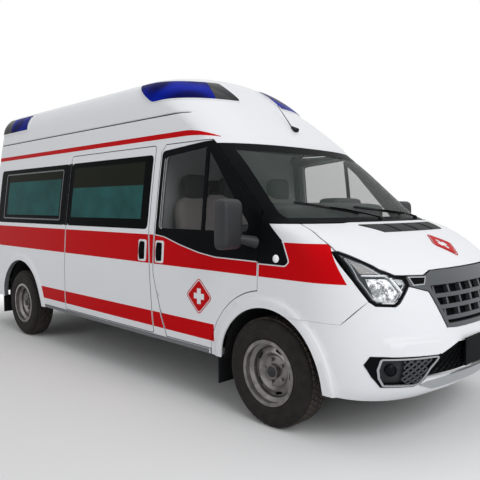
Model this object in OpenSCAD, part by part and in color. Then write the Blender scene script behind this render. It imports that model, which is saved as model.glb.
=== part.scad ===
// High-roof emergency van. Millimetres, X forward, Y left, Z up.
// The origin lies on the ground below the middle of the overall length.

/* [Body] */
// Width of the body without the mirrors
body_w = 1970; // [1900:10:2060]
// Height of the roof above the ground
roof_z = 2640; // [2560:10:2740]
// Distance between the axles
wheelbase = 3750; // [3600:10:3900]
// From the front axle to the foremost point
front_overhang = 1030; // [1000:5:1080]
// From the rear axle to the rearmost point
rear_overhang = 1000; // [940:5:1080]
// Thickness of side walls and doors
wall = 55; // [45:1:70]
// Thickness of the moulded roof
roof_t = 30; // [20:1:40]
// Thickness of the sheet at the front end
sheet_t = 12; // [8:1:18]
// Radius of the rear body corners
rear_r = 130; // [90:5:160]
// Height of the sill's lower edge
sill_z = 390; // [370:5:420]
// Height of the load floor
floor_z = 600; // [570:5:640]

/* [Doors] */
// Front edge of the front doors behind the front axle
door_x = 85; // [75:1:105]
// Length of the front doors
door_l = 1152; // [1120:2:1190]
// Width of the pillar behind the front doors
pillar_w = 85; // [75:1:110]
// Length of the sliding door
slide_l = 1398; // [1300:2:1440]
// Lower edge of the side doors
door_low = 435; // [425:1:470]
// Upper edge of the side doors
door_top = 1955; // [1930:1:1965]
// Gap round every door
door_gap = 7; // [6:0.5:9]
// Width of the post beside the rear doors
rear_post = 225; // [195:5:265]

/* [Windows] */
// Lower edge of the side windows
belt_z = 1275; // [1250:5:1320]
// Upper edge of the side windows
window_top = 1885; // [1840:5:1900]
// Thickness of the glass
glass_t = 6; // [5:0.5:8]
// Clearance between a pane and its frame
glass_fit = 0.3; // [0.2:0.05:0.5]

/* [Wheels] */
// Outside diameter of the tyres
tyre_d = 728; // [700:2:740]
// Width of the tyres
tyre_w = 215; // [195:5:225]
// Diameter of the rim at the bead
rim_d = 406; // [394:2:420]
// Distance between the wheel middles on one axle
track = 1740; // [1720:2:1750]
// Radius of the front wheel arches
front_arch = 435; // [425:1:460]
// Radius of the rear wheel arches
rear_arch = 490; // [470:1:510]
// Radius of the seam behind the front arch
arch_seam = 550; // [540:1:565]
// Radius of the wheel spindles
spindle_r = 32; // [26:1:40]
// Clearance of turning fits
fit = 0.3; // [0.2:0.05:0.5]

/* [Fittings] */
// Width of the blank number board
board_w = 600; // [520:10:640]
// Height of the blank number board
board_h = 170; // [120:5:180]
// Spacing of the board's screw holes along its width
board_dx = 540; // [300:5:580]
// Spacing of the board's screw holes along its height
board_dz = 100; // [70:5:110]
// Radius of the board's screw holes
board_hole = 3.5; // [2.5:0.5:5]
// Height of the door handles' middle
handle_z = 1100; // [1060:5:1130]
// How far the wheel arches stand out
flare = 12; // [6:1:18]
// Side of the square jacking pads
pad = 90; // [70:5:120]

/* [Hidden] */
$fn = 32;
eps = 0.01;
far = 4000;
length_all = wheelbase + front_overhang + rear_overhang;
nose_x = length_all / 2;
fx = nose_x - front_overhang;
rx = fx - wheelbase;
tail_x = -nose_x;
half_w = body_w / 2;
drawn_half = 985;
wide = half_w / drawn_half;
rear_half = half_w - rear_post;
hub_z = tyre_d / 2;
wheel_y = track / 2;
eaves_z = door_top + 40;
rise = roof_z - eaves_z;
cowl_z = 1352;
seam = door_gap;
lip = 18;
skin_t = 20;
hinge_r = 7;
pin_r = 4;
hinge_h = 60;
board_t = 10;
step_z = 515;

// Level, set-back of the nose, depth of the rounded front, its exponent,
// narrowing of the half width, set-back of the tail
rows = [
    [260, 230, 560, 2.3, 40, 70], [340, 95, 640, 2.3, 22, 58],
    [440, 30, 690, 2.3, 8, 52], [560, 10, 710, 2.3, 0, 50],
    [700, 20, 705, 2.3, 0, 50], [860, 55, 690, 2.3, 0, 50],
    [970, 90, 665, 2.3, 3, 51], [1050, 130, 625, 2.3, 7, 52],
    [1130, 200, 560, 2.3, 12, 54], [1220, 340, 470, 2.3, 18, 56],
    [1300, 510, 410, 2.3, 25, 58], [1345, 665, 370, 2.3, 31, 59],
    [1370, 780, 345, 2.3, 35, 60], [1420, 840, 330, 2.25, 40, 62],
    [1600, 1045, 320, 2.2, 62, 70], [1780, 1250, 325, 2.2, 86, 80],
    [1930, 1435, 335, 2.2, 108, 90], [eaves_z, 1488, 348, 2.2, 118, 95],
    [eaves_z + 0.318 * rise, 1735, 420, 2.2, 143, 108],
    [eaves_z + 0.55 * rise, 1940, 480, 2.2, 170, 122],
    [eaves_z + 0.705 * rise, 2085, 500, 2.2, 210, 140],
    [eaves_z + 0.83 * rise, 2205, 480, 2.2, 280, 165],
    [eaves_z + 0.907 * rise, 2305, 420, 2.2, 395, 200],
    [eaves_z + 0.961 * rise, 2420, 330, 2.2, 585, 260],
    [roof_z, 2680, 150, 2.2, 865, 420]];

function row_of(z, i = 0) = i >= len(rows) - 2 || z < rows[i + 1][0] ? i : row_of(z, i + 1);
function tilt(i, c) = let (a = max(i - 1, 0), b = min(i + 1, len(rows) - 1))
    (rows[b][c] - rows[a][c]) / (rows[b][0] - rows[a][0]);
function col(z, c) = let (i = row_of(z), h = rows[i + 1][0] - rows[i][0],
    s = max(0, min(1, (z - rows[i][0]) / h)), q = 1 - s)
    q * q * (1 + 2 * s) * rows[i][c] + s * s * (3 - 2 * s) * rows[i + 1][c]
    + h * s * q * (q * tilt(i, c) - s * tilt(i + 1, c));
function width_at(z) = (drawn_half - col(z, 4)) * wide;
function roof_level(s) = eaves_z + s * rise;
function side_x(z) = nose_x - col(z, 1) - col(z, 2);
function back_x(z) = tail_x + col(z, 5);
function corner_r(z) = min(rear_r, 0.8 * width_at(z));

// A point of the skin: u runs round the body, 0 front middle, 1 to 2 the
// side, 2 to 3 the rear corner, 4 rear middle; negative on the right
function skin(z, u) = let (a = abs(u), s = sign(u), w = width_at(z), e = 2 / col(z, 3), r = corner_r(z))
    a <= 1 ? [side_x(z) + col(z, 2) * pow(cos(90 * a), e), s * w * pow(sin(90 * a), e), z]
    : a <= 2 ? [side_x(z) + (a - 1) * (back_x(z) + r - side_x(z)), s * w, z]
    : a <= 3 ? [back_x(z) + r - r * sin(90 * (a - 2)), s * (w - r + r * cos(90 * (a - 2))), z]
    : [back_x(z), s * (w - r) * (4 - a), z];
function unit(v) = v / max(norm(v), 1e-9);
function normal(z, u) = let (du = abs(u) > 3.97 ? -0.02 * sign(u) : 0.01)
    unit(cross(abs(u) > 3.97 ? (skin(z, u + du) - skin(z, u)) * sign(du) : skin(z, u + du) - skin(z, u - du),
        skin(min(z + 2, roof_z), u) - skin(z - 2, u)));
function under(z, u, d, flat) = let (n = normal(z, u))
    skin(z, u) - d * (flat ? unit([n[0], n[1], 0]) : n);
function span(a, b, n) = [for (i = [0 : n]) a + (b - a) * i / n];

// A piece of the skin between depths d0 and d1
module patch(zs, us, d0, d1) {
    nu = len(us);
    nz = len(zs);
    m = nu * nz;
    top = [for (i = [0 : nz - 1]) for (u = us) under(zs[i], u, d0, i == 0 || i == nz - 1)];
    low = [for (i = [0 : nz - 1]) for (u = us) under(zs[i], u, d1, i == 0 || i == nz - 1)];
    cells = [for (i = [0 : nz - 2]) for (j = [0 : nu - 2]) i * nu + j];
    edge = concat([for (j = [0 : nu - 1]) j], [for (i = [1 : nz - 1]) i * nu + nu - 1],
        [for (j = [nu - 2 : -1 : 0]) (nz - 1) * nu + j], [for (i = [nz - 2 : -1 : 1]) i * nu]);
    polyhedron(concat(top, low), concat(
        [for (c = cells) [c, c + nu, c + nu + 1]], [for (c = cells) [c, c + nu + 1, c + 1]],
        [for (c = cells) [m + c, m + c + nu + 1, m + c + nu]], [for (c = cells) [m + c, m + c + 1,
            m + c + nu + 1]],
        [for (k = [0 : len(edge) - 1]) let (a = edge[k], b = edge[(k + 1) % len(edge)]) [a, b, m + b]],
        [for (k = [0 : len(edge) - 1]) let (a = edge[k], b = edge[(k + 1) % len(edge)]) [a, m + b, m + a]]));
}

// A closed dome of the skin from the first level up
module dome(zs, us, d) {
    nu = len(us);
    nz = len(zs);
    m = nu * nz;
    top = [for (i = [0 : nz - 1]) for (u = us) skin(zs[i], u)];
    low = [for (i = [0 : nz - 1]) for (u = us) under(zs[i], u, d, i == 0)];
    mid = (skin(roof_z, 0) + skin(roof_z, 4)) / 2;
    polyhedron(concat(top, low, [mid, mid - [0, 0, d]]), concat(
        [for (i = [0 : nz - 2]) for (j = [0 : nu - 1]) let (k = (j + 1) % nu) [i * nu + j, i * nu + nu + j,
            i * nu + nu + k]],
        [for (i = [0 : nz - 2]) for (j = [0 : nu - 1]) let (k = (j + 1) % nu) [i * nu + j, i * nu + nu + k,
            i * nu + k]],
        [for (i = [0 : nz - 2]) for (j = [0 : nu - 1]) let (k = (j + 1) % nu)
            [m + i * nu + j, m + i * nu + nu + k, m + i * nu + nu + j]],
        [for (i = [0 : nz - 2]) for (j = [0 : nu - 1]) let (k = (j + 1) % nu)
            [m + i * nu + j, m + i * nu + k, m + i * nu + nu + k]],
        [for (j = [0 : nu - 1]) let (k = (j + 1) % nu) [j, k, m + k]],
        [for (j = [0 : nu - 1]) let (k = (j + 1) % nu) [j, m + k, m + j]],
        [for (j = [0 : nu - 1]) let (k = (j + 1) % nu, t = (nz - 1) * nu) [2 * m, t + k, t + j]],
        [for (j = [0 : nu - 1]) let (k = (j + 1) % nu, t = m + (nz - 1) * nu) [2 * m + 1, t + j, t + k]]));
}

// Outlines drawn in the side view (x, z), the front view (y, z) or from above
module side_prism(y0, y1) translate([0, y1, 0]) rotate([90, 0, 0]) linear_extrude(y1 - y0) children();
module front_prism(x0, x1) translate([x0, 0, 0]) rotate([90, 0, 90]) linear_extrude(x1 - x0) children();
module side_of(s) if (s < 0) side_prism(-far, 0) children(); else side_prism(0, far) children();
module round2(r) offset(r) offset(-r) children();
module both() { children(); mirror([0, 1, 0]) children(); }
module rod(a, b, r) {
    v = b - a;
    translate(a) rotate([0, acos(v[2] / norm(v)), atan2(v[1], v[0])]) cylinder(r = r, h = norm(v));
}
module bar_y(r, y0, y1) translate([0, y0, 0]) rotate([-90, 0, 0]) cylinder(r = r, h = y1 - y0);

door_fx = fx - door_x;
door_rx = door_fx - door_l;
slide_fx = door_rx - pillar_w;
slide_rx = slide_fx - slide_l;
post_x = fx - 660;
post_z = 1440;
skew = 170;
sill_levels = [sill_z, 480, 560, 700, 860, 970, 1100, 1220];
upper_levels = [1345, 1480, 1600, 1780, 1900, eaves_z];
side_levels = concat(sill_levels, upper_levels);
side_us = [-4, -3, -2.8, -2.6, -2.4, -2.2, -2, -1, -0.9, -0.8, -0.7];

module door_outline(g) offset(g) difference() {
    polygon([[door_fx, door_low], [door_fx, post_z], [post_x, door_top], [door_rx, door_top],
        [door_rx, 883], [door_rx + skew, door_low]]);
    translate([fx, hub_z]) circle(arch_seam, $fn = 120);
}
module slide_outline(g) offset(g) polygon([[slide_fx + 80, door_low], [slide_fx, belt_z], [slide_fx, door_top],
    [slide_rx, door_top], [slide_rx, door_low]]);
module door_window(g) offset(g) round2(40) polygon([[door_rx + 60, belt_z + 10], [door_rx + 60,
    window_top - 25],
    [post_x - 10, window_top + 20], [door_fx - 90, belt_z + 60], [door_fx - 110, belt_z + 10]]);
module pane(x0, x1, g) offset(g) round2(45) polygon([[x0, belt_z], [x1, belt_z], [x1, window_top], [x0,
    window_top]]);
module slide_pane(g) pane(slide_rx + 20, slide_fx - 20, g);
module rear_pane(g) pane(tail_x + rear_r + 190, slide_rx - 45, g);
module screen_outline(g) offset(g) round2(50) scale([wide, 1]) polygon([[-880, 1385], [880, 1385], [762,
    1925], [-762, 1925]]);

rear_hinge_x = tail_x + 50 - 3;
rear_hinge_y = rear_half + door_gap / 2;
door_hinge_x = door_fx + seam / 2;
door_hinge_y = half_w + 2;
door_hinge_zs = [935, 1040];
rear_hinge_zs = [700, 1150, 1600];

// Hinges with a pin on the fixed side and a barrel on the moving side;
// reach runs from the axis to the panel that carries the half
module hinge_space(h) translate([0, 0, -h / 2]) cylinder(r = hinge_r + 3, h = h);
module hinge_pin(h, reach) {
    translate([0, 0, -h / 2]) cylinder(r = pin_r, h = h);
    for (s = [-1, 1]) translate([0, 0, s * (h / 2 - 5) - 5]) {
        cylinder(r = hinge_r, h = 10);
        translate([min(0, reach[0]), min(0, reach[1]), 0]) cube([abs(reach[0]), abs(reach[1]), 10]);
    }
}
module hinge_barrel(h, reach) difference() {
    translate([0, 0, 10.5 - h / 2]) {
        cylinder(r = hinge_r, h = h - 21);
        translate([min(0, reach[0]), min(0, reach[1]), 0]) cube([abs(reach[0]), abs(reach[1]), h - 21]);
    }
    translate([0, 0, -h / 2]) cylinder(r = pin_r + fit, h = h);
}

in_y = half_w - wall - 0.5;
door_in = half_w - wall - 15;
rail_y = 470;
rail_w = 80;
rail_z = 440;
tub_y = 535;
front_liner = front_arch + 15;
tub_in = 655;
liner_t = 12;
module liner(x, r, y0, y1) translate([x, 0, hub_z]) difference() {
    bar_y(r + liner_t, y0, y1);
    bar_y(r, y0 + 10, y1 + 50);
    translate([-far, -far, -far]) cube([2 * far, 2 * far, far]);
}
module floor_pan() color("silver") difference() {
    union() {
        translate([tail_x + rear_r + 60, -in_y, floor_z - 40]) cube([slide_fx - tail_x - rear_r - 60,
            2 * in_y, 40]);
        translate([slide_fx - 50, -door_in, floor_z - 40]) cube([fx - 480 - slide_fx + 50, 2 * door_in, 40]);
        translate([fx - 500, -tub_y, floor_z - 40]) cube([330, 2 * tub_y, 40]);
        both() translate([tail_x + 310, rail_y - rail_w / 2, rail_z])
            cube([fx + 800 - tail_x - 310, rail_w, floor_z - rail_z - 20]);
        for (x = [tail_x + 330, rx + 700, rx + 1750, fx - 610, fx + 690])
            translate([x, -rail_y, rail_z + 20]) cube([90, 2 * rail_y, 100]);
        both() for (x = [rx + 1000, fx - 900])
            translate([x, rail_y - pad / 2, rail_z - 10]) cube([pad, pad, 30]);
        both() translate([rx + 600, 790, sill_z + 10])
            cube([fx - arch_seam - 20 - rx - 600, door_in - 790, floor_z - sill_z - 20]);
        both() liner(fx, front_liner, tub_y, half_w - 60);
        front_prism(fx - 190, fx - 172) polygon([[-door_in + 30, 775], [-tub_y, 775], [-tub_y, floor_z - 40],
            [tub_y, floor_z - 40], [tub_y, 775], [door_in - 30, 775], [door_in - 30, 1325], [-door_in + 30,
                1325]]);
        both() translate([fx - 90, rail_y - rail_w / 2, floor_z - 40]) cube([180, 55, 400]);
        both() translate([fx - 90, rail_y - rail_w / 2, floor_z + 330]) cube([180, 320, 30]);
    }
    both() translate([rx, tub_in - glass_fit, hub_z]) bar_y(rear_arch + liner_t + glass_fit, 0, 600);
    both() translate([fx, tub_y + 10, hub_z]) bar_y(front_liner, 0, 600);
    both() translate([fx, strut_y, hub_z]) cylinder(r = strut_r + 12, h = floor_z + 330 - hub_z - eps);
}
module wheel_tubs() color("silver") both() difference() {
    liner(rx, rear_arch, tub_in, in_y - 18);
    translate([rx - 130, tub_in - 10, hub_z - 10]) cube([260, 40, 160]);
}

// The raised band round a wheel arch
module arch_band(s, x, r, w, zs, us) intersection() {
    patch(zs, us, -flare, 1);
    side_of(s) translate([x, hub_z]) difference() {
        circle(r + w, $fn = 120);
        circle(r, $fn = 120);
    }
}
function flip(us) = [for (i = [len(us) - 1 : -1 : 0]) -us[i]];
function side_list(s, us) = s < 0 ? us : flip(us);

module body_side(s) {
    difference() {
        union() {
            patch(side_levels, side_list(s, side_us), 0, wall);
            arch_band(s, rx, rear_arch, 52, [sill_z, 480, 560, 700, 860, 970], side_list(s, [-2, -1.4]));
        }
        side_of(s) {
            door_outline(seam);
            polygon([[door_fx - 200, door_low - seam], [post_x, door_top + seam], [post_x + 100, eaves_z + 50],
                [nose_x, eaves_z + 50], [nose_x, 0], [fx - 300, 0], [fx - 300, door_low - seam]]);
            translate([fx, hub_z]) circle(arch_seam + seam, $fn = 120);
            translate([rx, hub_z]) circle(rear_arch, $fn = 120);
            rear_pane(0);
            if (s < 0) slide_outline(seam); else slide_pane(0);
        }
        translate([tail_x - 100, s < 0 ? -rear_half - seam : 0, 300])
            cube([350, rear_half + seam, door_top + seam - 300]);
        translate([tail_x - 100, -half_w - 50, 300]) cube([402, 2 * half_w + 100, step_z - 300]);
        side_prism(s < 0 ? -far : half_w - 80, s < 0 ? 80 - half_w : far) tail_outline(0);
        for (z = rear_hinge_zs) translate([rear_hinge_x, s * rear_hinge_y, z]) hinge_space(hinge_h);
    }
    for (z = rear_hinge_zs) translate([rear_hinge_x, s * rear_hinge_y, z]) hinge_pin(hinge_h, [wall, s * 24]);
}
module body_side_right() color("white") body_side(-1);
module body_side_left() color("white") body_side(1);

roof_shares = [0, 0.14, 0.28, 0.43, 0.55, 0.66, 0.76, 0.85, 0.92, 0.965, 1];
module roof_shell() dome([for (s = roof_shares) roof_level(s)],
    concat(span(-1, 1, 16), [1.5], span(2, 3, 4), [4], span(-3, -2, 4), [-1.5]), roof_t);
module high_roof() color("white") roof_shell();

// Warning lamps: pods that wrap round the roof's front corners, and one lamp on each side at the rear
lamp_rise = 14;
module pods(d) both() patch([for (s = [0.516, 0.6, 0.68, 0.76, 0.832]) roof_level(s)],
    concat([-1.03], span(-0.97, -0.33, 6), [-0.235]), -lamp_rise, d);
module rear_lamps(d) both() intersection() {
    patch([for (s = [0.47, 0.6, 0.72, 0.86]) roof_level(s)], [-2.67, -2.42, -2.17, -1.98, -1.52],
        -lamp_rise, d);
    side_prism(-far, -300) round2(35) polygon([[tail_x + 170, roof_level(0.505)], [tail_x + 925,
        roof_level(0.505)],
        [tail_x + 925, roof_level(0.82)], [tail_x + 170, roof_level(0.82)]]);
}
module roof_lamps() color("blue") difference() {
    union() {
        pods(roof_t / 3);
        rear_lamps(roof_t / 3);
    }
    roof_shell();
}

function front_x(z, y) = side_x(z) + col(z, 2) * pow(1 - pow(y / width_at(z), col(z, 3)), 1 / col(z, 3));
bonnet_rear = 838 * wide;
lid_y = bonnet_rear - 45;
lid_x = front_x(cowl_z - 3, bonnet_rear) - 3;
lid_z = cowl_z + 8;
module screen_frame() color("black") {
    difference() {
        screen_body();
        both() translate([lid_x - 12, lid_y - hinge_h / 2, lid_z - 20]) cube([110, hinge_h, 80]);
    }
    both() translate([lid_x, lid_y, lid_z]) rotate([90, 0, 0]) translate([0, 0, -hinge_h / 2 - 10]) {
        cylinder(r = pin_r, h = hinge_h + 20);
        for (z = [0, hinge_h + 10]) translate([-45, -4, z]) cube([49.5, 14, 10]);
    }
}
module screen_body() difference() {
    union() {
        patch(concat([cowl_z + 4, 1385], [1480, 1600, 1700, 1780, 1860, 1930], [eaves_z]),
            span(-1.15, 1.15, 20), 0, 40);
        both() intersection() {
            patch([1088, 1150, 1220, 1290, cowl_z + 4], [-1.6, -1, -0.9, -0.8, -0.7, -0.6], 0, 30);
            side_prism(-far, 0) polygon([[door_fx + seam, 1080], [fx + 150, 1080], [fx + 178, 1110],
                [fx + 125, 1230],
                [fx - 10, cowl_z + 10], [door_fx + seam, cowl_z + 10]]);
        }
    }
    front_prism(0, far) screen_outline(0);
    side_prism(-far, far) door_outline(seam);
    side_prism(-far, far) polygon([[post_x, door_top + seam], [post_x + 100, eaves_z + 50], [tail_x,
        eaves_z + 50],
        [tail_x, 0], [door_fx - 100, 0], [door_fx - 100, post_z]]);
}
module windscreen() color("black") intersection() {
    patch([1370, 1440, 1540, 1650, 1760, 1860, 1940], span(-1, 1, 18), 0, glass_t);
    front_prism(0, far) screen_outline(-glass_fit);
}

bonnet_front = 886 * wide;
bonnet_low = 1075;
module bonnet_plan(g) offset(g) polygon([[fx - 100, -bonnet_rear], [fx + 130, -bonnet_rear], [fx + 360,
    -bonnet_front],
    [nose_x, -bonnet_front], [nose_x, bonnet_front], [fx + 360, bonnet_front], [fx + 130, bonnet_rear],
        [fx - 100, bonnet_rear]]);
module bonnet_face(g) offset(g) scale([wide, 1]) polygon([[-1000, 1450], [-1000, 1192], [-878, 1192],
    [-814, 1146], [-756, 1094],
    [-685, 1057], [-500, 1050], [-430, bonnet_low], [430, bonnet_low], [500, 1050], [685, 1057], [756, 1094],
    [814, 1146], [878, 1192], [1000, 1192], [1000, 1450]]);
module lamp_face(g) for (m = [0, 1]) mirror([m, 0]) offset(g) scale([wide, 1]) polygon([[-906, 1192],
    [-880, 1189], [-814, 1139],
    [-756, 1085], [-685, 1048], [-640, 1041], [-631, 992], [-706, 898], [-730, 879], [-821, 884], [-846, 907],
    [-889, 1031]]);
module grille_face(g) offset(g) scale([wide, 1]) polygon([[-628, 1044], [-500, 1042], [-430,
    bonnet_low - 8], [430, bonnet_low - 8],
    [500, 1042], [628, 1044], [624, 990], [505, 955], [417, 736], [330, 730], [-330, 730], [-417, 736],
        [-505, 955],
    [-624, 990]]);
module vent_face(g) offset(g) round2(15) scale([wide, 1]) polygon([[-885, 541], [-865, 592], [-480, 585],
    [-330, 640], [330, 640],
    [480, 585], [865, 592], [885, 541], [805, 404], [643, 402], [560, 440], [300, 440], [-300, 440], [-560,
        440],
    [-643, 402], [-805, 404]]);
front_us = span(-1, 1, 24);

lid_levels = [1046, 1075, 1110, 1150, 1190, 1220, 1255, 1290, 1320, cowl_z - 3];
module air_slots() scale([wide, 1]) difference() {
    polygon([[-500, 1334], [500, 1334], [415, 1288], [-415, 1288]]);
    for (y = [-230, 0, 230]) translate([y - 6, 1200]) square([12, 200]);
}
module bonnet() color("white") {
    difference() {
        intersection() {
            patch(lid_levels, front_us, 0, sheet_t);
            translate([0, 0, 1000]) linear_extrude(500) bonnet_plan(0);
            front_prism(0, far) bonnet_face(0);
        }
        intersection() {
            patch([1276, 1300, 1322, 1344], span(-0.55, 0.55, 10), -sheet_t, sheet_t / 2);
            front_prism(0, far) air_slots();
        }
    }
    both() translate([lid_x, lid_y, lid_z]) rotate([90, 0, 0]) hinge_barrel(hinge_h, [75, -21]);
}

wing_us = [-1.6, -1, -0.92, -0.84, -0.76, -0.68, -0.6, -0.52];
module wing(s) difference() {
    union() {
        patch(concat([sill_z, 450, 560, 660], [760, 860, 970, 1050, 1130, 1220, 1300, cowl_z - 3]),
            side_list(s, wing_us), 0, sheet_t);
        arch_band(s, fx, front_arch, 58, [sill_z, 450, 560, 660, 760, 860, 970], side_list(s, wing_us));
    }
    translate([0, 0, 1000]) linear_extrude(500) bonnet_plan(seam);
    front_prism(0, far) lamp_face(glass_fit);
    side_of(s) {
        translate([fx, hub_z]) circle(front_arch, $fn = 120);
        difference() {
            polygon([[fx - far, 0], [door_fx + seam, 0], [door_fx + seam, far], [fx - far, far]]);
            intersection() {
                translate([fx, hub_z]) circle(arch_seam - seam, $fn = 120);
                translate([fx - far, 0]) square([far, hub_z + arch_seam]);
            }
        }
        polygon([[fx - 10, -50], [fx - 10, 766], [fx + 550, 766], [fx + 588, 909], [nose_x, 909], [nose_x,
            -50]]);
        polygon([[door_fx - seam, 1084], [fx + 154, 1084], [fx + 184, 1108], [fx + 130, 1234], [fx - 6,
            cowl_z + 20],
            [fx - 500, cowl_z + 20]]);
    }
}
module wing_side(s) {
    difference() {
        wing(s);
        for (z = door_hinge_zs) translate([door_hinge_x, s * door_hinge_y, z]) hinge_space(hinge_h);
    }
    for (z = door_hinge_zs) translate([door_hinge_x, s * door_hinge_y, z]) hinge_pin(hinge_h, [26, -s * 14]);
}
module wing_right() color("white") wing_side(-1);
module wing_left() color("white") wing_side(1);

module bumper_front() color("white") difference() {
    union() {
        patch([262, 300, 350, 440, 560, 700, 762, 860, 905, 970, 1040], concat([-1.2], front_us, [1.2]), 0,
            sheet_t);
        for (s = [-1, 1]) arch_band(s, fx, front_arch, 58, [262, 300, 350, 440, 560, 700, 762, 860],
            side_list(s, [-1.2, -1, -0.92, -0.83, -0.75]));
    }
    front_prism(0, far) {
        lamp_face(glass_fit);
        grille_face(glass_fit);
        vent_face(glass_fit);
        scale([wide, 1]) polygon([[-far, far], [far, far], [far, 900], [870, 900], [846, 905], [628, 1060],
            [-628, 1060],
            [-846, 905], [-870, 900], [-far, 900]]);
    }
    side_prism(-far, far) {
        translate([fx, hub_z]) circle(front_arch, $fn = 120);
        polygon([[fx - far, 0], [fx, 0], [fx, 762], [fx + 556, 762], [fx + 596, 901], [fx + 596, far],
            [fx - far, far]]);
    }
}
module headlamps() color("gainsboro") intersection() {
    union() {
        patch([870, 950, 1030, 1100, 1150, 1200], [for (u = front_us) if (u < -0.3) u], -3, 45);
        patch([870, 950, 1030, 1100, 1150, 1200], [for (u = front_us) if (u > 0.3) u], -3, 45);
    }
    front_prism(0, far) lamp_face(0);
}
vent_levels = [396, 470, 560, 650];
vent_us = span(-0.85, 0.85, 18);
slat_h = 26;
slat_pitch = 65;
module fog_face(g) for (m = [0, 1]) mirror([m, 0]) offset(g) round2(12) scale([wide, 1]) polygon([[-812,
    520], [-800, 566],
    [-530, 562], [-575, 515], [-625, 432], [-655, 424], [-775, 428], [-800, 470]]);
// Diamond cells beside the number board and in the inner half of each lamp recess
module cells(y0, y1, z0, z1, p) for (k = [-1, 1], i = [0 : floor((y1 - y0) / p)],
    j = [0 : floor((z1 - z0) / p * 2)])
    translate([k * (y0 + (i + (j % 2) / 2) * p), z0 + j * p / 2]) rotate(45) square(p * 0.46, center = true);
module slats() {
    for (i = [0 : 3]) translate([0, -far / 2, 782 + i * slat_pitch]) cube([far, far, slat_h]);
    for (i = [0 : 3], y = [-360 : 60 : 360]) translate([0, wide * (y + (i % 2) * 30) - 4,
        782 + i * slat_pitch - 50]) cube([far, 8, 60]);
}
module grilles() color("dimgray") {
    difference() {
        patch([725, 800, 880, 960, 1070], span(-0.6, 0.6, 14), 4, 45);
        front_prism(0, far) difference() {
            square([far, far], center = true);
            grille_face(0);
        }
        difference() {
            front_prism(0, far) offset(-3) scale([wide, 1]) polygon([[-440, 978], [440, 978], [352, 768],
                [-352, 768]]);
            slats();
            patch([720, 800, 880, 960, 1080], span(-0.62, 0.62, 12), 25, 60);
        }
    }
    difference() {
        union() {
            intersection() {
                patch(vent_levels, vent_us, 6, 40);
                front_prism(0, far) vent_face(0);
            }
            intersection() {
                patch(vent_levels, vent_us, -2, 8);
                front_prism(0, far) difference() {
                    fog_face(9);
                    fog_face(0);
                }
            }
        }
        intersection() {
            patch(vent_levels, vent_us, -10, 24);
            front_prism(0, far) fog_face(0);
        }
        intersection() {
            patch(vent_levels, vent_us, -10, 34);
            front_prism(0, far) scale([wide, 1]) {
                cells(585, 665, 462, 540, 40);
                cells(330, 470, 480, 570, 40);
            }
        }
    }
    both() translate([front_x(495, 748 * wide) - 34, 748 * wide, 495]) sphere(r = 36);
}
board_z = 575;
module plate_board() color("black") difference() {
    union() {
        translate([nose_x - board_t, -board_w / 2, board_z - board_h / 2]) cube([board_t, board_w, board_h]);
        both() translate([nose_x - 70, board_w / 2 - 90, board_z - 60]) cube([70, 60, 80]);
    }
    patch(vent_levels, vent_us, 6 - glass_fit, 150);
    for (y = [-1, 1], z = [-1, 1]) translate([nose_x - 2 * board_t, y * board_dx / 2,
        board_z + z * board_dz / 2])
        rotate([0, 90, 0]) cylinder(r = board_hole, h = 3 * board_t);
}

// A door handle: raised bezel, recess and upright grip
module plate2(x, w, h) translate([x, handle_z]) round2(14) square([w, h], center = true);
module handle_cut(s, x, us) intersection() {
    patch([970, 1100, 1220], us, -20, 14);
    side_of(s) plate2(x, 62, 140);
}
module handle(s, x, us) {
    intersection() {
        patch([970, 1100, 1220], us, -5, 1);
        side_of(s) difference() {
            plate2(x, 112, 190);
            plate2(x, 62, 140);
        }
    }
    intersection() {
        patch([970, 1100, 1220], us, -16, -3);
        side_of(s) plate2(x, 30, 164);
    }
}
door_us = [-1.7, -1, -0.9, -0.8, -0.7];
door_levels = concat([door_low - 10], [480, 560, 700, 860, 970, 1100, 1220], [1345, 1480, 1600, 1780, 1900,
    door_top + 10]);
module door(s) {
    lev = door_levels;
    us = side_list(s, door_us);
    handle(s, door_rx + 80, us);
    difference() {
        union() {
            intersection() {
                patch(lev, us, 0, skin_t);
                side_of(s) door_outline(0);
            }
            intersection() {
                patch(lev, us, skin_t - eps, wall);
                side_of(s) door_outline(-lip);
            }
        }
        side_of(s) door_window(0);
        handle_cut(s, door_rx + 80, us);
        for (z = door_hinge_zs) translate([door_hinge_x, s * door_hinge_y, z]) hinge_space(hinge_h);
    }
    for (z = door_hinge_zs) translate([door_hinge_x, s * door_hinge_y, z]) hinge_barrel(hinge_h, [-26,
        -s * 14]);
}
module door_right() color("white") door(-1);
module door_left() color("white") door(1);
module door_pane(s) intersection() {
    patch([1260, 1420, 1600, 1780, 1920], s < 0 ? [-1.7, -1, -0.9, -0.8, -0.7] : [0.7, 0.8, 0.9, 1, 1.7],
        0, glass_t);
    side_of(s) door_window(-glass_fit);
}
module door_glass_right() color("black") door_pane(-1);
module door_glass_left() color("black") door_pane(1);
module sliding_door() color("white") {
    handle(-1, slide_fx - 70, [-2, -1]);
    difference() {
        intersection() {
            patch(door_levels, [-2, -1], 0, wall);
            side_of(-1) slide_outline(0);
        }
        side_of(-1) slide_pane(0);
        handle_cut(-1, slide_fx - 70, [-2, -1]);
    }
}
module side_windows() color("black") {
    lev = [1260, 1420, 1600, 1780, 1900];
    for (s = [-1, 1]) intersection() {
        patch(lev, s < 0 ? [-2, -1] : [1, 2], 0, glass_t);
        side_of(s) { slide_pane(-glass_fit); rear_pane(-glass_fit); }
    }
}

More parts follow.
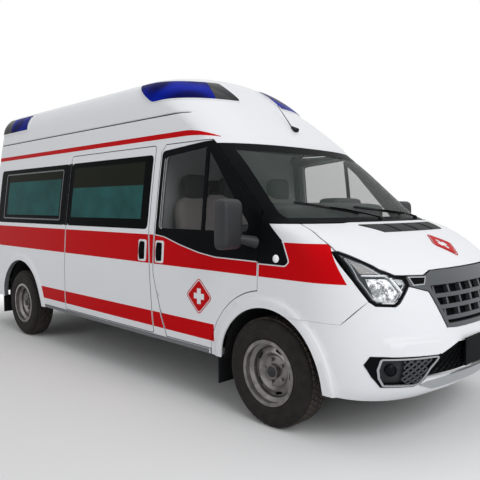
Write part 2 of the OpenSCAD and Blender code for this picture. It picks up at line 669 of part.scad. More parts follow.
mirror_x = fx - 190;
module mirror_unit(s) {
    y = half_w + 150;
    translate([mirror_x, s * y, 1345]) hull() for (z = [-150, 150]) translate([0, 0, z]) {
        for (k = [-1, 1]) translate([15, k * 52, 0]) sphere(r = 45, $fn = 10);
        for (k = [-1, 1]) translate([-40, k * 88, 0]) sphere(r = 22, $fn = 8);
    }
    hull() {
        translate([mirror_x + 10, s * y, 1240]) sphere(r = 32, $fn = 10);
        translate([mirror_x + 20, s * (half_w - 18), 1215]) sphere(r = 26, $fn = 10);
    }
}
module mirror_cut(s) difference() {
    mirror_unit(s);
    patch([970, 1100, 1220, 1345], side_list(s, door_us), -glass_fit, 200);
}
module mirror_right() color("black") mirror_cut(-1);
module mirror_left() color("black") mirror_cut(1);

rear_levels = [530, 700, 860, 1000, 1220, 1420, 1600, 1780, 1900, door_top];
module rear_outline(s, g) translate([s < 0 ? -rear_half - g : 5 - g, 530 - g])
    square([rear_half - 5 + 2 * g, door_top - 530 + 2 * g]);
module rear_window(s, g) offset(g) round2(40) translate([s < 0 ? -rear_half + 90 : 95, belt_z])
    square([rear_half - 185, window_top - belt_z - 30]);
module rear_door(s) {
    us = s < 0 ? [-3.999, -3, -2.75, -2.5] : [2.5, 2.75, 3, 3.999];
    difference() {
        union() {
            intersection() {
                patch(rear_levels, us, 0, skin_t);
                front_prism(-far, 0) rear_outline(s, 0);
            }
            intersection() {
                patch(rear_levels, us, skin_t - eps, wall);
                front_prism(-far, 0) rear_outline(s, -lip);
            }
        }
        front_prism(-far, 0) rear_window(s, 0);
        for (z = rear_hinge_zs) translate([rear_hinge_x, s * rear_hinge_y, z]) hinge_space(hinge_h);
    }
    for (z = rear_hinge_zs) translate([rear_hinge_x, s * rear_hinge_y, z]) hinge_barrel(hinge_h, [42, -s * 26]);
}
module rear_door_right() color("white") rear_door(-1);
module rear_door_left() color("white") rear_door(1);
module rear_pane_of(s) intersection() {
    patch([1250, 1420, 1600, 1780, 1900], s < 0 ? [-3.999, -3] : [3, 3.999], 0, glass_t);
    front_prism(-far, 0) rear_window(s, -glass_fit);
}
module rear_glass_right() color("black") rear_pane_of(-1);
module rear_glass_left() color("black") rear_pane_of(1);

module bumper_rear() color("dimgray") difference() {
    translate([tail_x, 0, step_z - 130]) linear_extrude(130) round2(60)
        polygon([for (k = [[0, -65], [140, -25], [300, -25]]) [k[0], -half_w - k[1]], for (k = [[300, -25],
            [140, -25], [0, -65]])
            [k[0], half_w + k[1]]]);
    translate([tail_x + 60, 80 - half_w, step_z - 140]) cube([400, 2 * half_w - 160, 110]);
}

rim_r = rim_d / 2;
bore_r = spindle_r + fit;
nut_r = 80;
module wheel_at(x, s) translate([x, s * wheel_y, hub_z]) rotate([0, 0, s < 0 ? 0 : 180]) children();
module rim() rotate([90, 0, 0]) difference() {
    union() {
        rotate_extrude() polygon([[rim_r + 17, 102], [rim_r + 17, 95], [rim_r, 95], [rim_r, 60],
            [rim_r - 23, 40],
            [rim_r - 23, -40], [rim_r, -60], [rim_r, -95], [rim_r + 17, -95], [rim_r + 17, -102],
                [rim_r - 7, -102],
            [rim_r - 7, -62], [rim_r - 30, -42], [rim_r - 30, 8], [rim_r - 43, 20], [125, 32], [100, 8],
                [bore_r, 8],
            [bore_r, 58], [46, 58], [50, 22], [100, 18], [126, 42], [rim_r - 41, 30], [rim_r - 30, 22],
            [rim_r - 30, 44], [rim_r - 7, 64], [rim_r - 7, 102]]);
        for (a = [36 : 72 : 359]) rotate(a) translate([nut_r, 0, 15]) cylinder(r = 13, h = 24, $fn = 6);
    }
    for (a = [0 : 72 : 359]) rotate(a) translate([rim_r - 56, 0, -10]) {
        translate([-11, -19, 0]) cube([22, 38, 100]);
        for (y = [-19, 19]) translate([0, y, 0]) cylinder(r = 11, h = 100);
    }
}
module tyre() rotate([90, 0, 0]) rotate_extrude() polygon(let (r = tyre_d / 2, b = rim_r + 0.05,
    w = tyre_w / 2, h = [
    [b, 62], [b, 94.5], [b + 18, 94.5], [b + 24, w - 7], [b + 55, w], [r - 62, w], [r - 26, w - 6], [r - 8,
        w - 20], [r, w - 40],
    [r, 44], [r - 8, 43], [r - 8, 36], [r, 35]]) concat(h, [for (i = [len(h) - 1 : -1 : 0]) [h[i][0],
        -h[i][1]]],
    [[b + 14, -60], [b + 40, -w + 22], [r - 50, -w + 22], [r - 20, -w + 50], [r - 20, w - 50], [r - 50, w - 22],
    [b + 40, w - 22], [b + 14, 60]]));
module rim_front_right() color("silver") wheel_at(fx, -1) rim();
module rim_front_left() color("silver") wheel_at(fx, 1) rim();
module rim_rear_right() color("silver") wheel_at(rx, -1) rim();
module rim_rear_left() color("silver") wheel_at(rx, 1) rim();
module tyre_front_right() color("black") wheel_at(fx, -1) tyre();
module tyre_front_left() color("black") wheel_at(fx, 1) tyre();
module tyre_rear_right() color("black") wheel_at(rx, -1) tyre();
module tyre_rear_left() color("black") wheel_at(rx, 1) tyre();

king_y = wheel_y - 70;
king_r = 14;
strut_y = king_y - 110;
strut_r = 30;
arm_z = 250;
carrier_r = 88;
module knuckle() difference() {
    union() {
        rotate([90, 0, 0]) translate([0, 0, -100]) cylinder(r = carrier_r, h = 100);
        rotate([90, 0, 0]) cylinder(r = spindle_r, h = 57);
    }
    translate([0, 70, arm_z - hub_z]) cylinder(r = king_r + fit, h = 70 + carrier_r - 60);
}
module knuckle_right() color("dimgray") wheel_at(fx, -1) knuckle();
module knuckle_left() color("dimgray") wheel_at(fx, 1) knuckle();
module front_suspension() color("dimgray") {
    translate([fx - 60, -rail_y - 40, rail_z - 140]) cube([120, 2 * rail_y + 80, 140]);
    both() {
        front_prism(fx - 35, fx + 35) polygon([[rail_y, rail_z - 60], [rail_y, rail_z - 120], [king_y - 30,
            arm_z - 24],
            [king_y + 28, arm_z - 24], [king_y + 28, arm_z], [king_y - 20, arm_z], [strut_y, arm_z + 26]]);
        translate([fx, king_y, arm_z - 10]) cylinder(r = king_r, h = 70);
        translate([fx, strut_y, arm_z]) cylinder(r = strut_r, h = floor_z + 330 - arm_z);
    }
}
module rear_axle() color("dimgray") translate([rx, 0, hub_z]) {
    bar_y(48, -wheel_y + 100, wheel_y - 100);
    for (s = [-1, 1]) scale([1, s, 1]) {
        bar_y(150, wheel_y - 100, wheel_y - 0.5);
        bar_y(spindle_r, wheel_y - 50, wheel_y + 57);
    }
    sphere(r = 150);
    rotate([0, 90, 0]) cylinder(r = 60, h = 200);
    both() translate([-60, leaf_y - leaf_w / 2, 0]) cube([120, leaf_w, seat_h]);
}
leaf_y = 600;
leaf_w = 62;
leaf_t = 30;
leaf_l = 640;
leaf_sag = 70;
seat_h = 60;
leaf_r = (leaf_l * leaf_l + leaf_sag * leaf_sag) / (2 * leaf_sag);
leaf_a = asin(leaf_l / leaf_r);
module leaf_springs() color("dimgray") both() translate([rx, leaf_y, hub_z + seat_h]) {
    intersection() {
        translate([0, 0, leaf_r + leaf_t]) difference() {
            bar_y(leaf_r + leaf_t, -leaf_w / 2, leaf_w / 2, $fn = 360);
            bar_y(leaf_r, -leaf_w, leaf_w, $fn = 360);
        }
        translate([-leaf_l, -leaf_w, -leaf_t]) cube([2 * leaf_l, 2 * leaf_w, 2 * leaf_sag + 2 * leaf_t]);
    }
    for (s = [-1, 1]) translate([s * leaf_l, 0, leaf_sag + leaf_t / 2]) {
        bar_y(28, -leaf_w / 2, leaf_w / 2);
        translate([-20, rail_y + rail_w / 2 - leaf_y, -20]) cube([40, leaf_y - rail_y - rail_w / 2, 40]);
    }
}
shaft_z = rail_z - 40;
module engine() color("gray") {
    translate([fx - 165, -230, rail_z]) cube([560, 460, 560]);
    translate([fx - 500, 0, shaft_z]) rotate([0, 90, 0]) cylinder(r = 95, h = 400);
}
module prop_shaft() color("gray") {
    a = [fx - 500, 0, shaft_z];
    b = [rx + 200, 0, hub_z];
    translate(a - [30, 0, 0]) rotate([0, 90, 0]) cylinder(r = 45, h = 30);
    translate(b) rotate([0, 90, 0]) cylinder(r = 45, h = 30);
    rod(a - [15, 0, 0], b + [15, 0, 0], 30);
}
module exhaust() color("gray") {
    y = -250;
    z = rail_z - 100;
    translate([rx + 950, y, z]) rotate([0, 90, 0]) cylinder(r = 85, h = 620);
    translate([rx + 620, y, z]) rotate([0, 90, 0]) cylinder(r = 28, h = fx - 300 - rx - 620);
    translate([rx + 1750, y - 12, z]) cube([60, 24, rail_z + 20 - z]);
    translate([rx + 700, y - 12, z]) cube([60, 24, rail_z + 20 - z]);
}
module fuel_tank() color("black") {
    translate([rx + 1250, rail_y + rail_w / 2 + 12, 330]) cube([760, 240, 220]);
    for (x = [rx + 1320, rx + 1880]) translate([x, rail_y + rail_w / 2, 480]) cube([50, 20, 60]);
}
module mudflaps() color("black") both() {
    translate([fx - 475, 790, 190]) cube([10, half_w - 15 - 790, sill_z - 190]);
    translate([rx - rear_arch - 60, 770, 190]) cube([10, half_w - 15 - 770, sill_z - 190]);
}
module dashboard() color("dimgray") {
    w = door_in - 45;
    side_prism(-w, w) polygon([[fx - 190, 900], [fx - 190, 1325], [fx + 20, 1335], [fx + 20, 1348],
        [fx - 200, 1350],
        [fx - 420, 1320], [fx - 500, 1240], [fx - 480, 1010], [fx - 380, 900]]);
    c = [fx - 600, 420, 1200];
    translate(c) rotate([0, -32, 0]) {
        rotate_extrude() translate([185, 0]) circle(15);
        for (a = [0, 120, 240]) rotate(a) rod([0, 0, -20], [185, 0, 0], 11);
        translate([0, 0, -40]) cylinder(r = 55, h = 35);
    }
    rod(c + [10, 0, -30], [fx - 440, 420, 1070], 35);
}
module cab_seats() color("gray") for (y = [[180, 720], [-820, 40]]) side_prism(y[0], y[1]) {
    translate([fx - 1090, floor_z]) square([430, 270]);
    round2(40) polygon([[fx - 1150, 850], [fx - 600, 870], [fx - 600, 985], [fx - 1000, 960], [fx - 1090, 1560],
        [fx - 1200, 1570], [fx - 1230, 1550]]);
    round2(25) polygon([[fx - 1185, 1500], [fx - 1095, 1500], [fx - 1115, 1730], [fx - 1210, 1730]]);
}
module partition() color("silver") difference() {
    front_prism(slide_fx + 20, slide_fx + 45) polygon(concat(
        [for (z = [floor_z, 700, 860, 1100, 1345, 1600, 1780, eaves_z - 10]) [width_at(z) - wall - 2, z]],
        [for (z = [eaves_z - 10, 1780, 1600, 1345, 1100, 860, 700, floor_z]) [wall + 2 - width_at(z), z]]));
    front_prism(slide_fx, slide_fx + 60) round2(40) translate([-350, belt_z]) square([700, 420]);
}
module tail_outline(g) offset(g) round2(15) translate([tail_x + 62, 900]) square([100, 430]);
module tail_lamps() color("red") both() intersection() {
    patch([880, 1000, 1120, 1240, 1350], span(-3, -2, 6), -6, wall);
    side_prism(-far, 80 - half_w) tail_outline(-glass_fit);
}

floor_pan();
wheel_tubs();
body_side_right();
body_side_left();
high_roof();
screen_frame();
windscreen();
wing_right();
wing_left();
bumper_front();
grilles();
headlamps();
plate_board();
engine();
front_suspension();
dashboard();
cab_seats();
partition();
sliding_door();
side_windows();
tail_lamps();
bumper_rear();
roof_lamps();
mudflaps();
exhaust();
fuel_tank();
prop_shaft();
rear_axle();
leaf_springs();
door_right();
door_left();
door_glass_right();
door_glass_left();
mirror_right();
mirror_left();
rear_door_right();
rear_door_left();
rear_glass_right();
rear_glass_left();
bonnet();
knuckle_right();
knuckle_left();
rim_front_right();
rim_front_left();
rim_rear_right();
rim_rear_left();
tyre_front_right();
tyre_front_left();
tyre_rear_right();
tyre_rear_left();
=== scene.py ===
import math
import bpy
import numpy as np
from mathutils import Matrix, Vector
from mathutils.geometry import delaunay_2d_cdt


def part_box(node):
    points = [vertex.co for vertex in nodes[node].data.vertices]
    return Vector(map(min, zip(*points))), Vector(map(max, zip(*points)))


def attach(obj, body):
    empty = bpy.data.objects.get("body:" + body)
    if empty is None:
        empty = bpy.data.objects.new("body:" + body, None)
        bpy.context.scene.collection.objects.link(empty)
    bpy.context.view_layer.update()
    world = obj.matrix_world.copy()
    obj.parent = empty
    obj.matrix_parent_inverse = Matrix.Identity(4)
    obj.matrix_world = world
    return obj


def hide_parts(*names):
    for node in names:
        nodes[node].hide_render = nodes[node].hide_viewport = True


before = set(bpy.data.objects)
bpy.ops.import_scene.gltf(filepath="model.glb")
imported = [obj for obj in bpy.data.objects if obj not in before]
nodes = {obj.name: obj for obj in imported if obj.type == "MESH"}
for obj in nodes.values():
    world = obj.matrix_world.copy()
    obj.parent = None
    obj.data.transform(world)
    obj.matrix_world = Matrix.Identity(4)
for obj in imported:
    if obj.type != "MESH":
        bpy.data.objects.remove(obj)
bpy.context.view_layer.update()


def middle(node):
    low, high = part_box(node)
    return [(a + b) / 2 for a, b in zip(low, high)]


# lengths in metres, read from the frame where it has them
van = {
    "noseX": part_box("plate_board")[1][0], "tailX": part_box("bumper_rear")[0][0],
    "frontAxle": middle("tyre_front_right")[0], "rearAxle": middle("tyre_rear_right")[0],
    "hubZ": middle("tyre_front_right")[2],
    "roofZ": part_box("high_roof")[1][2], "eavesZ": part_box("high_roof")[0][2],
    "halfWidth": 0.985, "rearRadius": 0.130, "cowlZ": 1.352, "beltZ": 1.275, "windowTop": 1.885,
    "doorTop": 1.955, "doorLow": 0.435, "gap": 0.007, "skirtZ": 0.390,
}
fx, rx = van["frontAxle"], van["rearAxle"]
sides = ((-1, "Right", "right"), (1, "Left", "left"))

# camera: found from the vanishing lines and wheels of the photograph
cameraSet = {"place": (fx + 2.39, -3.615, 1.463), "yaw": 134.99, "pitch": -3.52, "focal": 549.4 / 480 * 36}
cameraData = bpy.data.cameras.new("photoCamera")
camera = bpy.data.objects.new("photoCamera", cameraData)
bpy.context.scene.collection.objects.link(camera)
cameraData.sensor_width = 36
cameraData.lens = cameraSet["focal"]
camera.location = cameraSet["place"]
camera.rotation_euler = (math.radians(90 + cameraSet["pitch"]), 0, math.radians(cameraSet["yaw"] - 90))
bpy.context.scene.camera = camera
bpy.context.scene.view_settings.view_transform = "Standard"
print("camera set")

# the skin of the body: level, set-back of the nose, depth of the rounded front and its exponent,
# narrowing of the half width, set-back of the tail; millimetres
eaves, rise = van["eavesZ"] * 1000, (van["roofZ"] - van["eavesZ"]) * 1000
skinRows = np.array([
    [260, 230, 560, 2.3, 40, 70], [340, 95, 640, 2.3, 22, 58], [440, 30, 690, 2.3, 8, 52],
    [560, 10, 710, 2.3, 0, 50], [700, 20, 705, 2.3, 0, 50], [860, 55, 690, 2.3, 0, 50],
    [970, 90, 665, 2.3, 3, 51], [1050, 130, 625, 2.3, 7, 52], [1130, 200, 560, 2.3, 12, 54],
    [1220, 340, 470, 2.3, 18, 56], [1300, 510, 410, 2.3, 25, 58], [1345, 665, 370, 2.3, 31, 59],
    [1370, 780, 345, 2.3, 35, 60], [1420, 840, 330, 2.25, 40, 62], [1600, 1045, 320, 2.2, 62, 70],
    [1780, 1250, 325, 2.2, 86, 80], [1930, 1435, 335, 2.2, 108, 90], [eaves, 1488, 348, 2.2, 118, 95],
    [eaves + 0.318 * rise, 1735, 420, 2.2, 143, 108], [eaves + 0.55 * rise, 1940, 480, 2.2, 170, 122],
    [eaves + 0.705 * rise, 2085, 500, 2.2, 210, 140], [eaves + 0.83 * rise, 2205, 480, 2.2, 280, 165],
    [eaves + 0.907 * rise, 2305, 420, 2.2, 395, 200], [eaves + 0.961 * rise, 2420, 330, 2.2, 585, 260],
    [eaves + rise, 2680, 150, 2.2, 865, 420]])
skinRows[:, [0, 1, 2, 4, 5]] /= 1000


# smooth curve through one column of the table
def column(z, c):
    levels = skinRows[:, 0]
    i = np.clip(np.searchsorted(levels, z, "right") - 1, 0, len(levels) - 2)
    slopes = np.empty(len(levels))
    slopes[1:-1] = (skinRows[2:, c] - skinRows[:-2, c]) / (levels[2:] - levels[:-2])
    slopes[0] = (skinRows[1, c] - skinRows[0, c]) / (levels[1] - levels[0])
    slopes[-1] = (skinRows[-1, c] - skinRows[-2, c]) / (levels[-1] - levels[-2])
    h = levels[i + 1] - levels[i]
    s = np.clip((z - levels[i]) / h, 0, 1)
    q = 1 - s
    return (q * q * (1 + 2 * s) * skinRows[i, c] + s * s * (3 - 2 * s) * skinRows[i + 1, c]
            + h * s * q * (q * slopes[i] - s * slopes[i + 1]))


def halfWidth(z):
    return van["halfWidth"] - column(z, 4)


def noseAt(z):
    return van["noseX"] - column(z, 1)


def sideX(z):
    return noseAt(z) - column(z, 2)


def backX(z):
    return van["tailX"] + column(z, 5)


def frontX(z, y):
    n = column(z, 3)
    return sideX(z) + column(z, 2) * (1 - np.clip(np.abs(y) / halfWidth(z), 0, 1) ** n) ** (1 / n)


# maps from a flat outline to the skin: side, front, rear and bonnet
def onSide(sign):
    def place(a, z):
        w, r, n = halfWidth(z), van["rearRadius"], column(z, 3)
        t = np.clip((a - sideX(z)) / column(z, 2), 0, 1)
        cornerX = backX(z) + r
        turn = np.clip((cornerX - a) / r, 0, math.pi / 2)
        past = np.clip(cornerX - r * math.pi / 2 - a, 0, None)
        x = np.where(a < cornerX, cornerX - r * np.sin(turn), a)
        y = np.where(a < cornerX, w - r + r * np.cos(turn) - past, w * (1 - t ** n) ** (1 / n))
        return np.stack([x, sign * y, z], -1)
    return place


def onFront(a, z):
    return np.stack([frontX(z, a), a, z], -1)


def onRear(a, z):
    r = van["rearRadius"]
    over = np.clip(np.abs(a) - (halfWidth(z) - r), 0, r)
    return np.stack([backX(z) + r - np.sqrt(r * r - over * over), a, z], -1)


lidLevels = np.linspace(1.0, 1.40, 400)
lidNose = noseAt(lidLevels)


def onLid(a, b):
    z = np.interp(-b, -lidNose, lidLevels)
    return np.stack([frontX(z, a), a, z], -1)


def lidLoop(points):
    return [(y, float(noseAt(np.array(z)))) for y, z in points]


# the rounded front and the roof are cut in turn and level: a quarter turn counts as 1.2 m
quarter = 1.2


def wrap(a, z):
    n = column(z, 3)
    turn = np.clip(np.abs(a) / quarter, 0, 1) * math.pi / 2
    x = sideX(z) + column(z, 2) * np.cos(turn) ** (2 / n) - np.clip(np.abs(a) - quarter, 0, None)
    return np.stack([x, np.sign(a) * halfWidth(z) * np.sin(turn) ** (2 / n), z], -1)


def wrapAt(y, z):
    share = min(1.0, abs(y) / float(halfWidth(np.array(z)))) ** (float(column(np.array(z), 3)) / 2)
    return (math.copysign(quarter * math.asin(share) * 2 / math.pi, y), z)


def toWrap(points, step=0.03, closed=True):
    return [wrapAt(y, z) for y, z in resample(points, step, closed)]


def turnAt(x, z):
    z = np.array(z)
    back, depth, n = float(sideX(z)), float(column(z, 2)), float(column(z, 3))
    if x <= back:
        return quarter + back - x
    return quarter * math.acos(min(1.0, (x - back) / depth) ** (n / 2)) * 2 / math.pi


# points of a map with the outward direction of the skin there
def skinPoints(place, a, b):
    e = 5e-4
    at = place(a, b)
    normal = np.cross(place(a + e, b) - place(a - e, b), place(a, b + e) - place(a, b - e))
    normal /= np.maximum(np.linalg.norm(normal, axis=1, keepdims=True), 1e-12)
    outward = at - np.array([0, 0, 1.2]) - np.array([1, 0, 0]) * np.clip(at[:, :1], -2.2, 1.2)
    return at, (-normal if np.sum(normal * outward) < 0 else normal)


# outlines
def fillet(points, radius, count=6):
    out = []
    for i, p in enumerate(points):
        a, b, c = (np.array(q[:2], float) for q in (points[i - 1], p, points[(i + 1) % len(points)]))
        r = p[2] if len(p) > 2 else radius
        u, v = (a - b) / np.linalg.norm(a - b), (c - b) / np.linalg.norm(c - b)
        half = math.acos(float(np.clip(u @ v, -1, 1))) / 2
        if r <= 0 or half > 1.56:
            out.append(tuple(b))
            continue
        cut = min(r / math.tan(half), 0.45 * np.linalg.norm(a - b), 0.45 * np.linalg.norm(c - b))
        for k in range(count + 1):
            s = k / count
            out.append(tuple((b + u * cut) * (1 - s) ** 2 + 2 * b * s * (1 - s) + (b + v * cut) * s * s))
    return out


def shiftLoop(points, d):
    pts = np.array([p[:2] for p in points], float)
    area = 0.5 * np.sum(pts[:, 0] * np.roll(pts[:, 1], -1) - np.roll(pts[:, 0], -1) * pts[:, 1])
    out = []
    for i in range(len(pts)):
        e1, e2 = pts[i] - pts[i - 1], pts[(i + 1) % len(pts)] - pts[i]
        n1 = np.array([e1[1], -e1[0]]) / max(np.linalg.norm(e1), 1e-9) * np.sign(area)
        n2 = np.array([e2[1], -e2[0]]) / max(np.linalg.norm(e2), 1e-9) * np.sign(area)
        out.append(tuple(pts[i] + d * (n1 + n2) / max(1 + n1 @ n2, 0.3)))
    return out


# a ribbon of even width along an open line
def ribbon(points, width):
    pts = np.array(points, float)
    along = np.gradient(pts, axis=0)
    across = np.stack([-along[:, 1], along[:, 0]], 1) / np.linalg.norm(along, axis=1)[:, None] * width / 2
    return [tuple(p) for p in np.vstack([pts + across, (pts - across)[::-1]])]


# four corners from two ranges
def boxLoop(across, up):
    (x0, x1), (z0, z1) = across, up
    return [(x0, z0), (x1, z0), (x1, z1), (x0, z1)]


def roundBox(x, z, width, height, radius):
    w, h = width / 2, height / 2
    return fillet(boxLoop((x - w, x + w), (z - h, z + h)), radius)


def arc(cx, cz, r, a0, a1, count=24):
    turns = np.radians(np.linspace(a0, a1, count))
    return [(cx + r * math.cos(t), cz + r * math.sin(t)) for t in turns]


def resample(points, step, closed=True):
    out = []
    for i in range(len(points) if closed else len(points) - 1):
        p, q = points[i], points[(i + 1) % len(points)]
        n = max(1, int(math.ceil(math.dist(p, q) / step)))
        out += [(p[0] + (q[0] - p[0]) * k / n, p[1] + (q[1] - p[1]) * k / n) for k in range(n)]
    return out if closed else out + [tuple(points[-1])]


def insideLoop(points, loop):
    x, y = points[:, 0], points[:, 1]
    hit = np.zeros(len(points), bool)
    a = np.array(loop)
    for (x0, y0), (x1, y1) in zip(a, np.roll(a, -1, 0)):
        if y0 != y1:
            hit ^= ((y0 > y) != (y1 > y)) & (x < (x1 - x0) * (y - y0) / (y1 - y0) + x0)
    return hit


def nearLoop(points, loop, d):
    a = np.array(loop)
    near = np.zeros(len(points), bool)
    for p, q in zip(a, np.roll(a, -1, 0)):
        v = q - p
        t = np.clip(((points - p) @ v) / max(v @ v, 1e-12), 0, 1)
        near |= np.linalg.norm(points - p - t[:, None] * v, axis=1) < d
    return near


def mirrored(loop):
    return [(-y, z) for y, z in loop[::-1]]


def sided(loop, sign):
    return loop if sign < 0 else mirrored(loop)


# thickness of the sheets and mouldings by kind, and the mesh steps of the panels
sheet = {"print": 0.0008, "film": 0.002, "edging": 0.003, "strip": 0.004, "pane": 0.005, "trim": 0.006,
         "bezel": 0.008, "backing": 0.010, "panel": 0.012, "tub": 0.015, "shell": 0.020, "post": 0.028,
         "casing": 0.030, "deepRim": 0.045, "wall": 0.050}
steps = {"finest": 0.012, "finer": 0.015, "fine": 0.020, "small": 0.025, "middle": 0.030, "coarse": 0.040}


def fromAxle(points):
    return [(fx + p[0],) + tuple(p[1:]) for p in points]


# a mesh that rides on a body; its material gives the finish, and it may stand for one of the frame's nodes
def newPiece(name, verts, faces, material, body, replaced=None, sharp=None):
    mesh = bpy.data.meshes.new(name)
    mesh.from_pydata([tuple(map(float, v)) for v in verts], [], [tuple(map(int, f)) for f in faces])
    mesh.validate()
    piece = bpy.data.objects.new(name, mesh)
    bpy.context.scene.collection.objects.link(piece)
    for m in material if isinstance(material, (list, tuple)) else [material]:
        mesh.materials.append(m)
    mesh.polygons.foreach_set("use_smooth", [True] * len(mesh.polygons))
    if sharp is not None:
        mesh.set_sharp_from_angle(angle=math.radians(sharp))
    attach(piece, body)
    if replaced:
        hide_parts(replaced)
    return piece


# a closed panel cut from the skin: outline first, then its holes
def makePanel(name, loops, place, thick, material, body, replaced=None, lift=0.0,
              step=steps["coarse"], bulge=None, inner=None, extra=()):
    loops = [resample(loop, step) for loop in loops]
    pts, edges = [], []
    for loop in loops:
        k = len(pts)
        pts += loop
        edges += [(k + i, k + (i + 1) % len(loop)) for i in range(len(loop))]
    low, high = np.min(loops[0], 0), np.max(loops[0], 0)
    grid = np.array([(a, b) for j, b in enumerate(np.arange(low[1], high[1], step * 0.87))
                     for a in np.arange(low[0] + (j % 2) * step / 2, high[0], step)])
    if len(extra):
        grid = grid[~nearLoop(grid, extra, step * 0.4)] if len(extra) > 1 else grid
        grid = np.vstack([grid, np.array(extra)])
    keep = insideLoop(grid, loops[0]) & ~nearLoop(grid, loops[0], step * 0.3)
    for loop in loops[1:]:
        keep &= ~insideLoop(grid, loop) & ~nearLoop(grid, loop, step * 0.3)
    pts += [tuple(p) for p in grid[keep]]
    flat, _, tris, *_ = delaunay_2d_cdt([Vector(p) for p in pts], edges, [], 0, 1e-6)
    flat = np.array([tuple(p) for p in flat])
    tris = np.array([t for t in tris])
    centre = flat[tris].mean(1)
    good = insideLoop(centre, loops[0])
    for loop in loops[1:]:
        good &= ~insideLoop(centre, loop)
    tris = tris[good]
    used = np.unique(tris)
    remap = -np.ones(len(flat), int)
    remap[used] = np.arange(len(used))
    flat, tris = flat[used], remap[tris]
    at, normal = skinPoints(place, flat[:, 0], flat[:, 1])
    if bulge is not None:
        at = at + bulge(at)[:, None] * normal
    outer, under = at + lift * normal, at + (lift - thick) * normal
    first = outer[tris]
    facing = np.sum(np.cross(first[:, 1] - first[:, 0], first[:, 2] - first[:, 0]) * normal[tris[:, 0]], 1)
    tris[facing < 0] = tris[facing < 0][:, [0, 2, 1]]
    m = len(outer)
    pairs = {(t[i], t[(i + 1) % 3]) for t in tris for i in range(3)}
    rim = [(i, j) for i, j in sorted(pairs) if (j, i) not in pairs]
    faces = [tuple(t) for t in tris] + [(m + t[0], m + t[2], m + t[1]) for t in tris]
    faces += [(j, i, m + i, m + j) for i, j in rim]
    mats = [material] if inner is None else [material, inner]
    piece = newPiece(name, np.vstack([outer, under]), faces, mats, body, replaced)
    mesh = piece.data
    if inner is not None:
        for poly in mesh.polygons[len(tris):]:
            poly.material_index = 1
    sharp = {frozenset(p) for p in rim} | {frozenset((m + i, m + j)) for i, j in rim}
    attribute = mesh.attributes.new("sharp_edge", "BOOLEAN", "EDGE")
    for edge in mesh.edges:
        attribute.data[edge.index].value = frozenset(edge.vertices) in sharp
    return piece


# a round piece turned about the skin's own direction; the profile is radius and height, from pole to pole
def makeTurned(name, place, a, z, profile, material, body, slot, count=32):
    at, normal = skinPoints(place, np.array([a]), np.array([z]))
    n = Vector(normal[0])
    u = n.orthogonal().normalized()
    v = n.cross(u)
    turns = np.linspace(0, 2 * math.pi, count, endpoint=False)
    verts = [at[0] + np.array(n) * profile[0][1]]
    for r, h in profile[1:-1]:
        verts += [at[0] + np.array(u) * r * math.cos(t) + np.array(v) * r * math.sin(t) + np.array(n) * h
                  for t in turns]
    verts.append(at[0] + np.array(n) * profile[-1][1])
    last, rows = len(verts) - 1, len(profile) - 2
    faces = [(0, 1 + k, 1 + (k + 1) % count) for k in range(count)]
    for i in range(rows - 1):
        faces += [(1 + i * count + k, 1 + (i + 1) * count + k, 1 + (i + 1) * count + (k + 1) % count,
                   1 + i * count + (k + 1) % count) for k in range(count)]
    faces += [(last, 1 + (rows - 1) * count + (k + 1) % count, 1 + (rows - 1) * count + k)
              for k in range(count)]
    return newPiece(name, verts, faces, material, body, sharp=35)


# a closed tube along a path, with its own width and height at each point
def makeTube(name, path, radii, material, body, count=14, up=(0, 0, 1)):
    path = np.array(path, float)
    along = np.gradient(path, axis=0)
    along /= np.linalg.norm(along, axis=1, keepdims=True)
    turns = np.linspace(0, 2 * math.pi, count, endpoint=False)
    verts, faces = [], []
    for p, t, r in zip(path, along, radii):
        side = np.cross(t, up)
        side /= np.linalg.norm(side)
        top = np.cross(side, t)
        wide, high = r if isinstance(r, (tuple, list)) else (r, r)
        verts += [p + side * wide * math.cos(q) + top * high * math.sin(q) for q in turns]
    for i in range(len(path) - 1):
        faces += [(i * count + k, i * count + (k + 1) % count, (i + 1) * count + (k + 1) % count,
                   (i + 1) * count + k) for k in range(count)]
    end = (len(path) - 1) * count
    faces += [tuple(range(count - 1, -1, -1)), tuple(range(end, end + count))]
    return newPiece(name, verts, faces, material, body, sharp=40)


# a soft closed box: exponent for its corners, waist for how far its sides pull in,
# grooves as (axis, place, depth)
def softBox(size, exponent, waist=0.0, grooves=(), count=20):
    line = np.linspace(-1, 1, count + 1)
    verts, faces, seen = [], [], {}
    for axis in range(3):
        for sign in (-1, 1):
            index = np.zeros((count + 1, count + 1), int)
            for i, s in enumerate(line):
                for j, t in enumerate(line):
                    p = [0, 0, 0]
                    p[axis], p[(axis + 1) % 3], p[(axis + 2) % 3] = sign, s, t
                    key = tuple(round(c, 5) for c in p)
                    if key not in seen:
                        seen[key] = len(verts)
                        verts.append(p)
                    index[i, j] = seen[key]
            for i in range(count):
                for j in range(count):
                    f = (index[i, j], index[i + 1, j], index[i + 1, j + 1], index[i, j + 1])
                    faces.append(f if sign > 0 else f[::-1])
    v = np.array(verts, float)
    v = np.sign(v) * np.abs(np.sin(v * math.pi / 2)) ** 0.9
    v /= (np.sum(np.abs(v) ** exponent, 1) ** (1 / exponent))[:, None]
    v[:, 1] *= 1 - waist * (1 - v[:, 0] ** 2)
    v[:, 0] *= 1 - waist * (1 - v[:, 1] ** 2)
    for axis, spot, depth in grooves:
        v[:, 2] *= 1 - depth * np.exp(-((v[:, axis] - spot) / 0.05) ** 2)
    return v * np.array(size) / 2, faces


def hexColour(code, alpha=1.0):
    parts = [int(code[i:i + 2], 16) / 255 for i in (1, 3, 5)]
    return tuple(p / 12.92 if p <= 0.04045 else ((p + 0.055) / 1.055) ** 2.4 for p in parts) + (alpha,)


